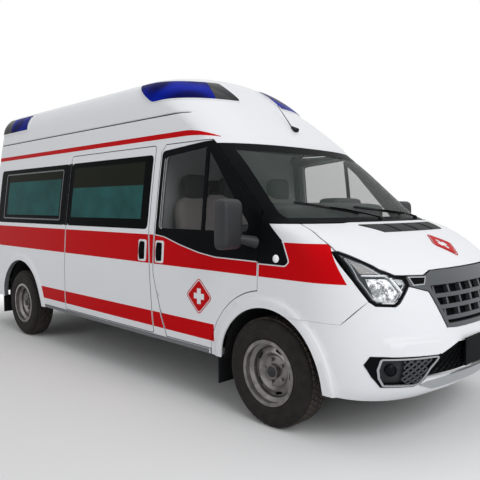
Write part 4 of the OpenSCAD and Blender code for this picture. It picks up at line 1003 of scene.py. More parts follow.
# rear doors with their panes, lamps and handle
rear = {"low": 0.530, "top": 1.955, "middle": 0.005, "half": 0.760, "paneLow": 1.275, "paneTop": 1.855,
        "paneIn": 0.095, "paneOut": 0.670, "paneCorner": 0.04}
rearHinge = {"levels": (0.70, 1.15, 1.60), "inset": 0.034, "reach": 0.04, "radius": 0.007, "stand": 0.002}
rearGrip = {"y": (-0.150, -0.020), "z": (1.060, 1.110), "corner": 0.02}
rearPlate = {"y": (-0.66, -0.14), "z": (0.80, 0.92), "corner": 0.012}
for sign, word, side in sides:
    body = "door_rear_" + side
    panel = sided(boxLoop((-rear["half"], -rear["middle"]), (rear["low"], rear["top"])), sign)
    pane = sided(boxLoop((-rear["paneOut"], -rear["paneIn"]), (rear["paneLow"], rear["paneTop"])), sign)
    pane = fillet(pane, rear["paneCorner"])
    makePanel("rearDoor" + word, [fillet(panel, 0.012), shiftLoop(pane, 0.001)], onRear, sheet["wall"],
              bodyPaint, body, "rear_door_" + side, inner=trimGrey)
    makePanel("rearDoorPane" + word, [pane], onRear, sheet["trim"], rearGlass, body,
              "rear_glass_" + side, lift=-0.002)
    makePanel("rearPaneSeal" + word, [shiftLoop(pane, 0.012), shiftLoop(pane, -0.010)], onRear,
              sheet["trim"], blackPlastic, body, lift=0.003, step=steps["middle"])
    for z in rearHinge["levels"]:
        heights = np.linspace(z - rearHinge["reach"], z + rearHinge["reach"], 5)
        at, normal = skinPoints(onRear, np.full(5, sign * (rear["half"] - rearHinge["inset"])), heights)
        makeTube("rearHinge%s%d" % (word, z * 100), at + normal * rearHinge["stand"],
                 [rearHinge["radius"]] * 5, blackPlastic, body, up=tuple(normal[2]))
grip = fillet(boxLoop(rearGrip["y"], rearGrip["z"]), rearGrip["corner"])
makePanel("rearHandle", [grip], onRear, sheet["shell"], satinBlack, "door_rear_right",
          lift=0.014, step=steps["fine"])
blank = fillet(boxLoop(rearPlate["y"], rearPlate["z"]), rearPlate["corner"])
makePanel("rearNumberPanel", [blank], onRear, sheet["trim"], blackPlastic, "door_rear_right",
          lift=0.004, step=steps["middle"])


# tail lamps wrap round the rear corners: red, amber and clear fields
def cornerTurn(x, z):
    z = np.array(z)
    corner = float(backX(z)) + van["rearRadius"]
    return corner - van["rearRadius"] * math.asin(min(1.0, (corner - x) / van["rearRadius"]))


tail = {"x": (van["tailX"] + 0.064, van["tailX"] + 0.160), "low": 0.902, "high": 1.328, "turnZ": 1.1,
        "edge": 0.006, "gap": 0.004,
        "fields": (("Red", 0.16, redLens), ("Amber", 0.12, amberLens), ("Clear", 0.14, frostedLens))}
for sign, word, side in sides:
    a0, a1 = (cornerTurn(x, tail["turnZ"]) for x in tail["x"])
    e = tail["edge"]
    case = fillet(boxLoop((a0, a1), (tail["low"], tail["high"])), 0.015)
    makePanel("tailCase" + word, [case], onSide(sign), sheet["casing"], blackPlastic, "van",
              "tail_lamps", lift=0.002, step=steps["fine"])
    z = tail["high"] - e
    for label, height, lens in tail["fields"]:
        field = fillet(boxLoop((a0 + e, a1 - e), (z - height + tail["gap"], z)), 0.010)
        makePanel("tailLens" + label + word, [field], onSide(sign), sheet["panel"], lens, "van",
                  lift=0.008, step=steps["fine"])
        z -= height
print("rear made")

# windscreen, its black surround, printed shade band and white header
glazing = {"half": (0.880, 0.762), "low": 1.385, "high": 1.925, "corner": 0.05, "surroundTop": 1.930,
           "shadeHalf": (0.772, 0.760), "shadeLow": 1.872, "shadeHigh": 1.923, "shadeCorner": 0.012}


def taperLoop(half, low, high, corner):
    return fillet([(-half[0], low), (half[0], low), (half[1], high), (-half[1], high)], corner)


screenLoop = taperLoop(glazing["half"], glazing["low"], glazing["high"], glazing["corner"])
shadeLoop = taperLoop(glazing["shadeHalf"], glazing["shadeLow"], glazing["shadeHigh"], glazing["shadeCorner"])
makePanel("windscreen", [screenLoop], onFront, sheet["trim"], screenGlass, "van",
          "windscreen")


def postY(z):
    t = max(0.0, (z - door["postZ"]) / (van["doorTop"] - door["postZ"]))
    x = fx + door["front"] + van["gap"] + t * (door["postX"] - door["front"])
    return float(onSide(1)(np.array(x), np.array(z))[1])


def acrossFront(levels, top=2.0):
    return [(postY(min(z, top)), z) for z in levels] + [(-postY(min(z, top)), z) for z in levels[::-1]]


frameLoop = acrossFront(np.linspace(van["cowlZ"] + 0.004, glazing["surroundTop"], 16))
makePanel("screenSurround", [frameLoop, shiftLoop(screenLoop, 0.0005)], onFront, sheet["casing"],
          satinBlack, "van", "screen_frame")
makePanel("screenShade", [shadeLoop], onFront, sheet["print"], satinBlack, "van",
          lift=0.0006)
headerLoop = acrossFront(np.linspace(glazing["surroundTop"] + 0.002, van["eavesZ"], 4), van["doorTop"])
makePanel("screenHeader", [headerLoop], onFront, sheet["casing"], whitePaint, "van")
cornerStart = door["front"] + van["gap"]
cornerLoop = fillet(fromAxle([(cornerStart, 1.088), (0.150, 1.088, 0.03), (0.178, 1.112, 0.03),
                              (0.125, 1.230, 0.05), (-0.010, 1.356), (cornerStart, 1.400)]), 0.0)
repeater = {"x": 0.077, "z": 1.127, "radius": 0.026}
for sign, word, side in sides:
    makePanel("cornerTrim" + word, [cornerLoop], onSide(sign), sheet["shell"], satinBlack, "van",
              lift=0.004, step=steps["small"])
    line = [p for p in cornerLoop if p[1] < 1.30 and p[0] > fx + door["front"] + 0.02]
    line = ribbon(resample([(fx + cornerStart, 1.088)] + line, steps["fine"], False), 0.016)
    makePanel("cornerEdge" + word, [line], onSide(sign), sheet["trim"], whitePaint, "van",
              lift=0.0018, step=steps["small"])
    r = repeater["radius"]
    makeTurned("sideRepeater" + word, onSide(sign), fx + repeater["x"], repeater["z"],
               [(0, -0.004), (r, -0.004), (r, 0.006), (0.8 * r, 0.012), (0.4 * r, 0.016), (0, 0.017)],
               whiteLens, "van", "lamp_clear")

# wipers: arm and blade held just off the glass, y and z on the front
wipers = {"Right": {"pivot": (-0.060, 1.362), "inner": (-0.230, 1.404), "outer": (-0.730, 1.482)},
          "Left": {"pivot": (0.560, 1.362), "inner": (0.400, 1.396), "outer": (-0.215, 1.450)}}
wiper = {"blade": (0.004, 0.009), "bladeLift": 0.010, "arm": (0.011, 0.006), "armTaper": 0.0004,
         "armLift": 0.016,
         "pivot": [(0, -0.004), (0.017, -0.004), (0.017, 0.018), (0.012, 0.024), (0, 0.026)]}
for word, line in wipers.items():
    blade = np.linspace(line["inner"], line["outer"], 24)
    at, normal = skinPoints(onFront, blade[:, 0], blade[:, 1])
    makeTube("wiperBlade" + word, at + normal * wiper["bladeLift"], [wiper["blade"]] * 24, blackPlastic,
             "van", 10)
    grip = (np.array(line["inner"]) + np.array(line["outer"])) / 2
    arm = np.linspace(line["pivot"], grip, 16)
    at, normal = skinPoints(onFront, arm[:, 0], arm[:, 1])
    lift = wiper["armLift"] * (1 + np.sin(np.linspace(0.4, math.pi, 16)))
    wide, high = wiper["arm"]
    radii = [(wide - wiper["armTaper"] * i, high) for i in range(16)]
    makeTube("wiperArm" + word, at + normal * lift[:, None], radii, satinBlack, "van", 10)
    makeTurned("wiperPivot" + word, onFront, *line["pivot"], wiper["pivot"], blackPlastic, "van",
               "black_plastic", 20)
print("glass made")

# front end outlines, y and z
lidEdge = {"rear": 0.838, "front": 0.886, "low": 1.075, "x": (fx + 0.130, fx + 0.360), "frontZ": 1.196,
           "search": (0.70, 0.95, 400)}
lidCrease = {"x": (fx + 0.15, fx + 0.85), "y": (0.60, 0.40), "rise": 0.006, "width": 0.05}
lampLoop = [(-0.906, 1.192), (-0.880, 1.189), (-0.814, 1.139), (-0.756, 1.085), (-0.685, 1.048),
            (-0.640, 1.041), (-0.631, 0.992), (-0.706, 0.898), (-0.730, 0.879), (-0.821, 0.884),
            (-0.846, 0.907), (-0.889, 1.031)]
grilleLoop = [(-0.628, 1.044), (-0.500, 1.042), (-0.430, 1.067), (0.430, 1.067), (0.500, 1.042),
              (0.628, 1.044), (0.624, 0.990), (0.505, 0.955), (0.417, 0.736), (0.330, 0.730),
              (-0.330, 0.730), (-0.417, 0.736), (-0.505, 0.955), (-0.624, 0.990)]
ventLoop = [(-0.885, 0.541), (-0.865, 0.592), (-0.480, 0.585), (-0.330, 0.640), (0.330, 0.640),
            (0.480, 0.585), (0.865, 0.592), (0.885, 0.541), (0.805, 0.404), (0.643, 0.402),
            (0.560, 0.440), (-0.560, 0.440), (-0.643, 0.402), (-0.805, 0.404)]


def lidSide():
    out = []
    y = np.linspace(*lidEdge["search"])
    for z in np.linspace(van["cowlZ"] - 0.003, lidEdge["frontZ"], 12):
        edge = np.interp(frontX(np.full(len(y), z), y), lidEdge["x"], [lidEdge["rear"], lidEdge["front"]])
        out.append((float(y[np.argmin(np.abs(y - edge))]), float(z)))
    return out


lidFlank = lidSide()
lidFront = [(0.878, 1.197), (0.814, 1.146), (0.756, 1.094), (0.685, 1.057), (0.500, 1.050),
            (0.430, lidEdge["low"])]
lidHalf = lidFlank + lidFront
lidOutline = lidLoop(lidHalf + [(-y, z) for y, z in lidHalf[::-1]])


# two long creases rise along the bonnet
def lidBulge(at):
    crest = np.interp(at[:, 0], lidCrease["x"], lidCrease["y"])
    return lidCrease["rise"] * np.clip((crest - np.abs(at[:, 1])) / lidCrease["width"], 0, 1)


makePanel("bonnetPanel", [lidOutline], onLid, sheet["panel"], whitePaint, "bonnet",
          "bonnet", step=steps["middle"], bulge=lidBulge)
# air slots at the rear of the bonnet: black tray and three dividers
airSlots = {"tray": [(-0.500, 1.334), (0.500, 1.334), (0.415, 1.288), (-0.415, 1.288)],
            "dividers": (-0.23, 0.0, 0.23), "divider": (0.007, 1.291, 1.331)}
makePanel("bonnetVent", [fillet(lidLoop(airSlots["tray"]), 0.012)], onLid, sheet["trim"], blackPlastic,
          "bonnet", lift=0.0090)
for i, y in enumerate(airSlots["dividers"]):
    half, low, high = airSlots["divider"]
    bar = lidLoop([(y - half, high), (y + half, high), (y + half, low), (y - half, low)])
    makePanel("ventDivider%d" % (i + 1), [bar], onLid, sheet["trim"], satinBlack, "bonnet",
              lift=0.0125, step=steps["fine"])
lidEmblem = {"level": 1.202, "wide": 0.105, "high": 0.098}
spot = (0.0, float(noseAt(np.array(lidEmblem["level"]))))
makeEmblem("bonnetEmblem", "", spot, (lidEmblem["wide"], lidEmblem["high"]), onLid, "bonnet", 0.0090,
           steps["finer"])
wing = {"nose": (0.550, 0.766), "lampBack": 0.002,
        "lampEdge": ((-0.846, 0.907), (-0.889, 1.031), (-0.906, 1.192)),
        "corner": ((-0.004, 1.349), (0.131, 1.234), (0.184, 1.110), (0.154, 1.084)), "cornerLow": 1.084}


def wingLoop():
    hub, r, z0, g = van["hubZ"], arches["front"], van["skirtZ"], van["gap"]
    seam = door["archSeam"] - g
    start, stop = (math.degrees(math.asin((z - hub) / r)) for z in (z0, wing["nose"][1]))
    loop = arc(fx, hub, r, 180 - start, stop, 40) + fromAxle([wing["nose"]])
    for y, z in wing["lampEdge"]:
        loop.append((float(frontX(np.array(z), np.array(y))) - wing["lampBack"], z))
    for y, z in lidFlank[::-1]:
        loop.append((float(frontX(np.array(z), np.array(y + g))), z))
    loop += fromAxle(wing["corner"] + ((door["front"] + g, wing["cornerLow"]),))
    top = math.degrees(math.acos((door["front"] + g) / seam))
    low = 180 - math.degrees(math.asin((z0 - hub) / seam))
    return loop + arc(fx, hub, seam, top, low, 24)


for sign, word, side in sides:
    rings = archRings(fx, arches["frontBand"], 5, 175)
    makePanel("frontWing" + word, [wingLoop()], onSide(sign), sheet["panel"], bodyPaint, "van",
              "wing_" + side, bulge=archBulge, step=steps["middle"], extra=rings)
print("bonnet and wings made")

# bumper: from one arch round the nose to the other, open below for the mesh
crease = {"z": 0.684, "from": 0.46, "to": 0.82, "depth": 0.010, "half": 0.004, "run": 0.16, "fade": 0.05}
bumper = {"top": [(0.0001, 0.727), (0.330, 0.727), (0.420, 0.733), (0.508, 0.951), (0.628, 0.986),
                  (0.703, 0.893), (0.729, 0.874), (0.823, 0.879), (0.848, 0.9055)],
          "seam": (0.552, 0.7645), "archLow": 0.325, "under": [(0.56, 0.308), (0.75, 0.275)],
          "chin": (0.30, 0.262)}


def bumperHalf():
    hub, r = van["hubZ"], arches["front"]
    top, low = (math.asin((z - hub) / r) for z in (bumper["seam"][1], bumper["archLow"]))
    arch = [(r * math.cos(t), hub + r * math.sin(t)) for t in np.linspace(top, low, 22)]
    half = toWrap(bumper["top"], closed=False)
    half += [(turnAt(fx + x, z), z) for x, z in [bumper["seam"]] + arch + bumper["under"]]
    return half + [bumper["chin"]]


# shallow step across the bumper beside the grille
def bumperBulge(at):
    y = np.abs(at[:, 1])
    inner, outer = (y - crease["from"]) / crease["fade"], (crease["to"] - y) / crease["fade"]
    fade = np.clip(inner, 0, 1) * np.clip(outer, 0, 1)
    below = crease["z"] - at[:, 2]
    step = np.clip(below / crease["half"], 0, 1) * np.clip(1 - below / crease["run"], 0, 1)
    return archBulge(at) + crease["depth"] * fade * step


lines = [wrapAt(s * y, crease["z"] - d) for s in (-1, 1) for d in (0.0, crease["half"])
         for y in np.linspace(crease["from"], crease["to"], 16)]
rings = [(s * turnAt(x, z), z) for s in (-1, 1) for x, z in archRings(fx, arches["frontBand"], -12, 62)]
half = bumperHalf()
makePanel("frontBumper", [half + [(-a, z) for a, z in half[::-1]], toWrap(ventLoop)], wrap,
          sheet["shell"], whitePaint, "van", "bumper_front", bulge=bumperBulge,
          step=steps["middle"], extra=lines + rings)
makePanel("lowerMeshBack", [toWrap(shiftLoop(ventLoop, 0.004))], wrap, sheet["backing"], blackPlastic,
          "van", "grilles", lift=-0.035)

# fog corners: black bezel, silver outline, recess with a round lamp and a diamond mesh
fog = {
    "outer": [(-0.885, 0.541), (-0.865, 0.592), (-0.468, 0.588), (-0.545, 0.510), (-0.596, 0.412),
              (-0.636, 0.398), (-0.805, 0.404), (-0.854, 0.471)],
    "line": [(-0.838, 0.515), (-0.826, 0.580), (-0.484, 0.579), (-0.556, 0.508), (-0.606, 0.416),
             (-0.642, 0.405), (-0.798, 0.411), (-0.828, 0.462)],
    "width": 0.009, "lamp": (-0.776, 0.506), "lampRadius": 0.036, "corners": (0.010, 0.018),
    "pitch": 0.036, "stagger": 1.2, "margin": 0.012, "cell": 0.0175, "wire": 0.0056,
    "shape": (1.1, 1.0, 2.2), "sink": -0.008, "meshFrom": 0.715,
}


def cellPoints(loop, pitchY, pitchZ, margin):
    ys, zs = [p[0] for p in loop], [p[1] for p in loop]
    points = []
    for j, z in enumerate(np.arange(min(zs), max(zs), pitchZ / 2)):
        for y in np.arange(min(ys) + (j % 2) * pitchY / 2, max(ys), pitchY):
            points.append((y, z))
    points = np.array(points)
    return points[insideLoop(points, loop) & ~nearLoop(points, loop, margin)]


def cellInputs(part, material):
    return {"Cell radius": part["cell"], "Wire radius": part["wire"], "Cell shape": part["shape"],
            "Material": material}


def makeFog(sign, word):
    outer, line = (sided(fog[k], sign) for k in ("outer", "line"))
    line = fillet(line, fog["corners"][1])
    inner = shiftLoop(line, -fog["width"])
    makePanel("fogBezel" + word, [toWrap(fillet(outer, fog["corners"][0])), toWrap(inner, steps["fine"])],
              wrap, sheet["casing"], satinBlack, "van", lift=0.003, step=steps["small"])
    makePanel("fogOutline" + word, [toWrap(line, steps["fine"]), toWrap(inner, steps["fine"])], wrap,
              sheet["bezel"], silverTrim, "van", lift=0.007, step=steps["fine"])
    makePanel("fogFloor" + word, [toWrap(shiftLoop(inner, 0.002), steps["fine"])], wrap, sheet["trim"],
              housingGrey, "van", lift=-0.024, step=steps["fine"])
    a, z = wrapAt(sign * abs(fog["lamp"][0]), fog["lamp"][1])
    r = fog["lampRadius"]
    bowl = [(0, -0.024), (r, -0.024), (r, -0.004), (0.86 * r, -0.001), (0.8 * r, -0.006),
            (0.45 * r, 0.001), (0, 0.004)]
    makeTurned("fogLamp" + word, wrap, a, z, bowl, darkLens, "van", "lamp_clear")
    cells = cellPoints(inner, fog["stagger"] * fog["pitch"], fog["pitch"], fog["margin"])
    cells = cells[np.abs(cells[:, 0]) < fog["meshFrom"]]
    points = [wrapAt(y, z) + (fog["sink"],) for y, z in cells]
    makeRepeat("fogMesh" + word, cellTree, points, cellInputs(fog, gunmetal), "van",
               place=wrap)


for sign, word, side in sides:
    makeFog(sign, word)
# dark mesh of the lower opening, behind the number board
lowerMesh = {"pitch": (0.052, 0.044), "margin": 0.012, "cell": 0.022, "wire": 0.003,
             "shape": (1.2, 1.0, 2.0), "sink": -0.012,
             "opening": [(-0.545, 0.560), (-0.330, 0.625), (0.330, 0.625), (0.545, 0.560),
                         (0.570, 0.468), (-0.570, 0.468)]}
cells = cellPoints(lowerMesh["opening"], *lowerMesh["pitch"], lowerMesh["margin"])
points = [wrapAt(y, z) + (lowerMesh["sink"],) for y, z in cells]
makeRepeat("lowerMesh", cellTree, points, cellInputs(lowerMesh, satinBlack), "van",
           place=wrap)
lip = [(-0.596, 0.402), (-0.560, 0.424), (-0.30, 0.446), (0.30, 0.446), (0.560, 0.424), (0.596, 0.402),
       (0.480, 0.362), (0.25, 0.372), (-0.25, 0.372), (-0.480, 0.362)]
makePanel("lowerLip", [toWrap(lip)], wrap, sheet["panel"], silverTrim, "van", lift=0.005)

# grille: frame, dark back, three slatted rows with staggered fins
grille = {"inner": [(-0.490, 0.985), (0.490, 0.985), (0.400, 0.757), (-0.400, 0.757)],
          "slats": (0.912, 0.845, 0.778), "slat": 0.024, "rows": (0.960, 0.890, 0.823),
          "fin": (0.014, 0.046, 0.030), "pitch": 0.140, "clear": 0.002, "finClear": 0.03,
          "finSink": -0.026}


def grilleReach(z):
    (wide, top), (narrow, low) = grille["inner"][1:3]
    return narrow + (z - low) / (top - low) * (wide - narrow)


makePanel("grilleBack", [toWrap(shiftLoop(grilleLoop, -0.006))], wrap, sheet["backing"], satinBlack,
          "van", lift=-0.045)
makePanel("grilleFrame", [toWrap(grilleLoop), toWrap(fillet(grille["inner"], 0.012), steps["fine"])],
          wrap, sheet["wall"], gunmetal, "van", lift=0.006, step=steps["middle"])
for i, z in enumerate(grille["slats"]):
    top = z + grille["slat"]
    low, high = (grilleReach(level) - grille["clear"] for level in (z, top))
    slat = toWrap([(-high, top), (high, top), (low, z), (-low, z)])
    makePanel("grilleSlat%d" % (i + 1), [slat], wrap, sheet["casing"], gunmetal, "van",
              lift=0.004, step=steps["middle"])
points = []
for i, z in enumerate(grille["rows"]):
    reach = grilleReach(z) - grille["finClear"]
    shift = (i % 2) * grille["pitch"] / 2
    points += [wrapAt(y, z) + (grille["finSink"],) for y in np.arange(-reach + shift, reach, grille["pitch"])]
makeRepeat("grilleFins", blockTree, points, {"Block size": grille["fin"], "Material": gunmetal}, "van",
           place=wrap)
# arms from the grille to the lamps: slate inset with a silver outline
for sign, word, side in sides:
    inset = sided([(-0.612, 1.036), (-0.505, 1.032), (-0.530, 0.998), (-0.600, 0.997)], sign)
    makePanel("armInset" + word, [toWrap(inset, steps["fine"])], wrap, sheet["trim"], satinBlack, "van",
              lift=0.008, step=steps["fine"])
    edge = [toWrap(shiftLoop(inset, 0.006), steps["fine"]), toWrap(inset, steps["fine"])]
    makePanel("armOutline" + word, edge, wrap, sheet["trim"], silverTrim, "van",
              lift=0.009, step=steps["fine"])

# headlamps: black tub, turn lens, chromed reflector with a projector, light guide, clear cover
lamp = {"turn": [(-0.872, 1.150), (-0.852, 1.068), (-0.730, 1.068), (-0.785, 1.106)],
        "bar": [(-0.850, 1.062), (-0.704, 1.060), (-0.698, 1.052), (-0.848, 1.052)],
        "main": [(-0.836, 1.040), (-0.724, 1.040), (-0.688, 0.955), (-0.728, 0.904), (-0.818, 0.912)],
        "guide": [(-0.716, 1.042), (-0.702, 1.010), (-0.676, 0.955), (-0.700, 0.915), (-0.722, 0.897),
                  (-0.790, 0.896)],
        "inset": [(-0.700, 1.036), (-0.646, 1.036), (-0.638, 1.002), (-0.684, 1.000)],
        "projector": (-0.795, 0.985), "projectorRadius": 0.042}


def makeLamp(sign, word):
    outline = sided(lampLoop, sign)
    makePanel("lampTub" + word, [toWrap(shiftLoop(outline, -0.003))], wrap, sheet["tub"], satinBlack,
              "van", "headlamps", lift=-0.045, step=steps["small"])
    makePanel("lampRim" + word, [toWrap(outline), toWrap(shiftLoop(outline, -0.013), steps["fine"])],
              wrap, sheet["deepRim"], satinBlack, "van", lift=0.001, step=steps["fine"])
    line = [toWrap(shiftLoop(outline, -d), steps["fine"]) for d in (0.022, 0.026)]
    makePanel("lampLine" + word, line, wrap, sheet["shell"], silverTrim, "van",
              lift=-0.006, step=steps["fine"])
    fields = (("turnLamp", "turn", frostedLens, -0.010, sheet["shell"]),
              ("lampBar", "bar", silverTrim, -0.004, sheet["shell"]),
              ("mainReflector", "main", chromeWithPaintedReflections, -0.026, sheet["tub"]),
              ("lampInset", "inset", silverTrim, -0.008, sheet["shell"]))
    for label, key, material, lift, thick in fields:
        field = toWrap(fillet(sided(lamp[key], sign), 0.006), steps["fine"])
        makePanel(label + word, [field], wrap, thick, material, "van", lift=lift,
                  step=steps["fine"])
    guide = ribbon(resample(sided(lamp["guide"], sign), steps["finest"], False), 0.012)
    makePanel("lightGuide" + word, [toWrap(guide, steps["fine"])], wrap, sheet["shell"], whiteLens, "van",
              lift=-0.006, step=steps["finest"])
    a, z = wrapAt(sign * abs(lamp["projector"][0]), lamp["projector"][1])
    r = lamp["projectorRadius"]
    eye = [(0, -0.03), (r, -0.03), (r, -0.012), (0.85 * r, -0.010), (0.78 * r, -0.016), (0.4 * r, -0.008),
           (0, -0.006)]
    # the projector's chrome carries the same painted reflections
    makeTurned("projector" + word, wrap, a, z, eye, chromeWithPaintedReflections, "van", "lamp_clear")
    makePanel("lampCover" + word, [toWrap(shiftLoop(outline, -0.0135))], wrap, sheet["edging"], clearLens,
              "van", lift=-0.001, step=steps["small"])


for sign, word, side in sides:
    makeLamp(sign, word)
print("front end made")

# high roof: rings of the skin with a crease along each side, open below
roof = {"levels": 52, "crease": 2.203, "creaseFront": fx - 0.935, "fade": 0.06, "depth": 0.010,
        "width": 0.007, "thick": 0.020, "clear": 0.03,
        "fine": (-0.026, -0.016, -0.010, -0.006, -0.003, 0.0, 0.003, 0.006, 0.010, 0.016, 0.026)}


def roofRing(z, inset):
    level = np.array(z)
    w, s, b = float(halfWidth(level)), float(sideX(level)), float(backX(level))
    d, n = float(column(level, 2)), float(column(level, 3))
    r = min(van["rearRadius"], 0.8 * w)
    front = np.linspace(0, math.pi / 2, 60)[:-1]
    half = [(s + d * math.cos(t) ** (2 / n), w * math.sin(t) ** (2 / n)) for t in front]
    half += [(x, w) for x in np.linspace(s, b + r, 50)[:-1]]
    half += [(b + r - r * math.sin(t), w - r + r * math.cos(t)) for t in np.linspace(0, math.pi / 2, 14)]
    half += [(b, y) for y in np.linspace(w - r, 0, 22)[1:]]
    pts = np.array(half + [(x, -y) for x, y in half[-2:0:-1]])
    along = np.roll(pts, -1, 0) - np.roll(pts, 1, 0)
    out = np.stack([along[:, 1], -along[:, 0]], 1)
    out /= np.maximum(np.linalg.norm(out, axis=1, keepdims=True), 1e-9)
    groove = roof["depth"] * math.exp(-((z - roof["crease"]) / roof["width"]) ** 2) if inset == 0 else 0.0
    fade = np.clip((roof["creaseFront"] - pts[:, 0]) / roof["fade"], 0, 1)
    pts = pts - out * (groove * fade + inset)[:, None]
    return np.column_stack([pts, np.full(len(pts), z)])


def makeRoof():
    low, high = van["eavesZ"], van["roofZ"]
    levels = low + (high - low) * np.sin(np.linspace(0, math.pi / 2, roof["levels"]))
    coarse = levels[np.abs(levels - roof["crease"]) > roof["clear"]]
    levels = np.unique(np.concatenate([coarse, roof["crease"] + np.array(roof["fine"])]))
    rings = [roofRing(z, 0.0) for z in levels]
    for z in levels[::-1][4::4]:
        ring = roofRing(z, roof["thick"])
        ring[:, 2] = max(low, z - roof["thick"])
        rings.append(ring)
    count, top, n = len(rings), len(levels), len(rings[0])
    faces = []
    for i in range(count - 1):
        if i != top - 1:
            faces += [(i * n + k, i * n + (k + 1) % n, (i + 1) * n + (k + 1) % n, (i + 1) * n + k)
                      for k in range(n)]
    faces.append(tuple(range((top - 1) * n, top * n)))
    faces.append(tuple(range((top + 1) * n - 1, top * n - 1, -1)))
    last = (count - 1) * n
    faces += [(last + k, last + (k + 1) % n, (k + 1) % n, k) for k in range(n)]
    piece = newPiece("highRoof", np.vstack(rings), faces, [bodyPaint, trimGrey], "van",
                     "high_roof", sharp=50)
    outerCap = len(faces) - n - 2
    for poly in piece.data.polygons[(top - 1) * n:]:
        poly.material_index = int(poly.index != outerCap)


makeRoof()

# black strip in the crease: painted shade of the gap between the roof cap and the body
seam = {"rear": van["tailX"] + 0.170, "front": fx - 0.965, "height": 0.0065, "lift": -0.0035}
for sign, word, side in sides:
    line = ribbon([(x, roof["crease"]) for x in np.linspace(seam["rear"], seam["front"], 40)], seam["height"])
    makePanel("roofCreaseShade" + word, [line], onSide(sign), sheet["strip"], blackPlastic, "van",
              lift=seam["lift"])

# warning lamps at the roof's corners: white bezel and crowned lenses, split near the front; turn and level
pods = {"low": 2.328, "high": 2.532, "front": {"Right": (0.255, 0.290), "Left": (0.150, 0.175)},
        "rear": 1.290, "splitLow": 0.500, "splitHigh": 0.420, "edge": 0.008, "corner": 0.022,
        "bezelRise": 0.006, "lensRise": 0.009, "crown": 0.012, "sink": 0.020, "joint": 0.003}
rearLamps = {"rear": fx - 4.580, "front": fx - 3.825, "low": 2.321, "high": 2.524, "edge": 0.020,
             "split": fx - 4.300}


def podCrown(at):
    t = np.clip((at[:, 2] - pods["low"]) / (pods["high"] - pods["low"]), 0, 1)
    return pods["crown"] * 4 * t * (1 - t)


def makePod(sign, word):
    low, high, e, r = pods["low"], pods["high"], pods["edge"], pods["corner"]
    f0, f1 = pods["front"][word]
    s0, s1, end = (pods[k] for k in ("splitLow", "splitHigh", "rear"))
    outline = [(f0, low, r), (end, low, r), (end, high, r), (f1, high, r)]
    first = [(f0 + e, low + e, r), (s0, low + e), (s1, high - e), (f1 + e, high - e, r)]
    second = [(s0 + pods["joint"], low + e), (end - e, low + e, r), (end - e, high - e, r),
              (s1 + pods["joint"], high - e)]
    # on the right the front field is dark, on the left it is blue
    panels = (("podBezel", outline, whitePaint, pods["bezelRise"], "body_paint"),
              ("podFront", first, darkLens if sign < 0 else blueLens, pods["lensRise"], "lamp_blue"),
              ("podRear", second, blueLens, pods["lensRise"], "lamp_blue"))
    for label, loop, material, rise, slot in panels:
        loop = fillet([(sign * p[0],) + p[1:] for p in loop], 0.0)
        node = "roof_lamps" if label == "podBezel" else None
        makePanel(label + word, [loop], wrap, pods["sink"], material, "van", node, lift=rise,
                  step=steps["middle"], bulge=podCrown)
    x0, x1, z0, z1, e = (rearLamps[k] for k in ("rear", "front", "low", "high", "edge"))
    mid = rearLamps["split"]
    loop = boxLoop((x0, x1), (z0, z1))
    smoked = boxLoop((x0 + e, mid), (z0 + e, z1 - e))
    blue = boxLoop((mid + pods["joint"], x1 - 2 * e), (z0 + e, z1 - e))
    panels = (("rearLampBezel", fillet(loop, r), whitePaint, pods["bezelRise"], "body_paint"),
              ("rearLampSmoked", smoked, darkLens, pods["lensRise"], "lamp_blue"),
              ("rearLampLens", blue, blueLens, pods["lensRise"], "lamp_blue"))
    for label, loop, material, rise, slot in panels:
        makePanel(label + word, [loop], onSide(sign), pods["sink"], material, "van", lift=rise,
                  step=steps["middle"], bulge=podCrown)


for sign, word, side in sides:
    makePod(sign, word)
# whip aerial on its moulded foot
aerial = {"foot": (fx - 0.545, -0.011, 2.092), "base": (fx - 0.600, -0.011, 2.128),
          "tip": (fx - 0.762, -0.011, 2.330), "footRadii": (0.030, 0.022), "footTaper": (0.003, 0.002),
          "whipRadius": 0.0042, "whipTaper": 0.0002}
(wide, high), (wideTaper, highTaper) = aerial["footRadii"], aerial["footTaper"]
radii = [(wide - wideTaper * i, high - highTaper * i) for i in range(8)]
makeTube("aerialFoot", np.linspace(aerial["foot"], aerial["base"], 8), radii, blackPlastic, "van")
radii = [aerial["whipRadius"] - aerial["whipTaper"] * i for i in range(12)]
makeTube("aerialWhip", np.linspace(aerial["base"], aerial["tip"], 12), radii, blackPlastic, "van",
         10)
print("roof made")

# tyres: a turned carcass with five ribs of tread blocks
tyre = {"radius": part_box("tyre_front_right")[1][2] - van["hubZ"], "half": 0.1075, "bead": 0.203,
        "tread": 0.010, "ribs": (-0.060, -0.030, 0.0, 0.030, 0.060), "blocks": 60,
        "block": (0.0315, 0.0250, 0.014), "section": 96}
hubSection = [(0.0005, 0.073), (0.010, 0.073), (0.012, 0.069), (0.024, 0.068), (0.034, 0.064),
              (0.038, 0.0585), (0.0005, 0.0585)]


def tyreSection():
    r, w, b = tyre["radius"], tyre["half"], tyre["bead"]
    base = r - tyre["tread"]
    half = [(base, 0.0), (base, 0.074), (base - 0.001, 0.082), (r - 0.018, 0.090), (r - 0.030, 0.098),
            (r - 0.046, 0.1040), (r - 0.060, 0.1050), (r - 0.062, 0.1075), (r - 0.071, 0.1075),
            (r - 0.073, 0.1052), (b + 0.066, w), (b + 0.051, 0.1055), (b + 0.048, 0.1075),
            (b + 0.040, 0.1075), (b + 0.037, 0.1045), (b + 0.024, w - 0.008), (b + 0.018, 0.0945),
            (b + 0.0005, 0.0945), (b + 0.0005, 0.062)]
    return half + [(b + 0.014, 0.055), (b + 0.014, -0.055)] + [(q, -y) for q, y in half[:0:-1]]


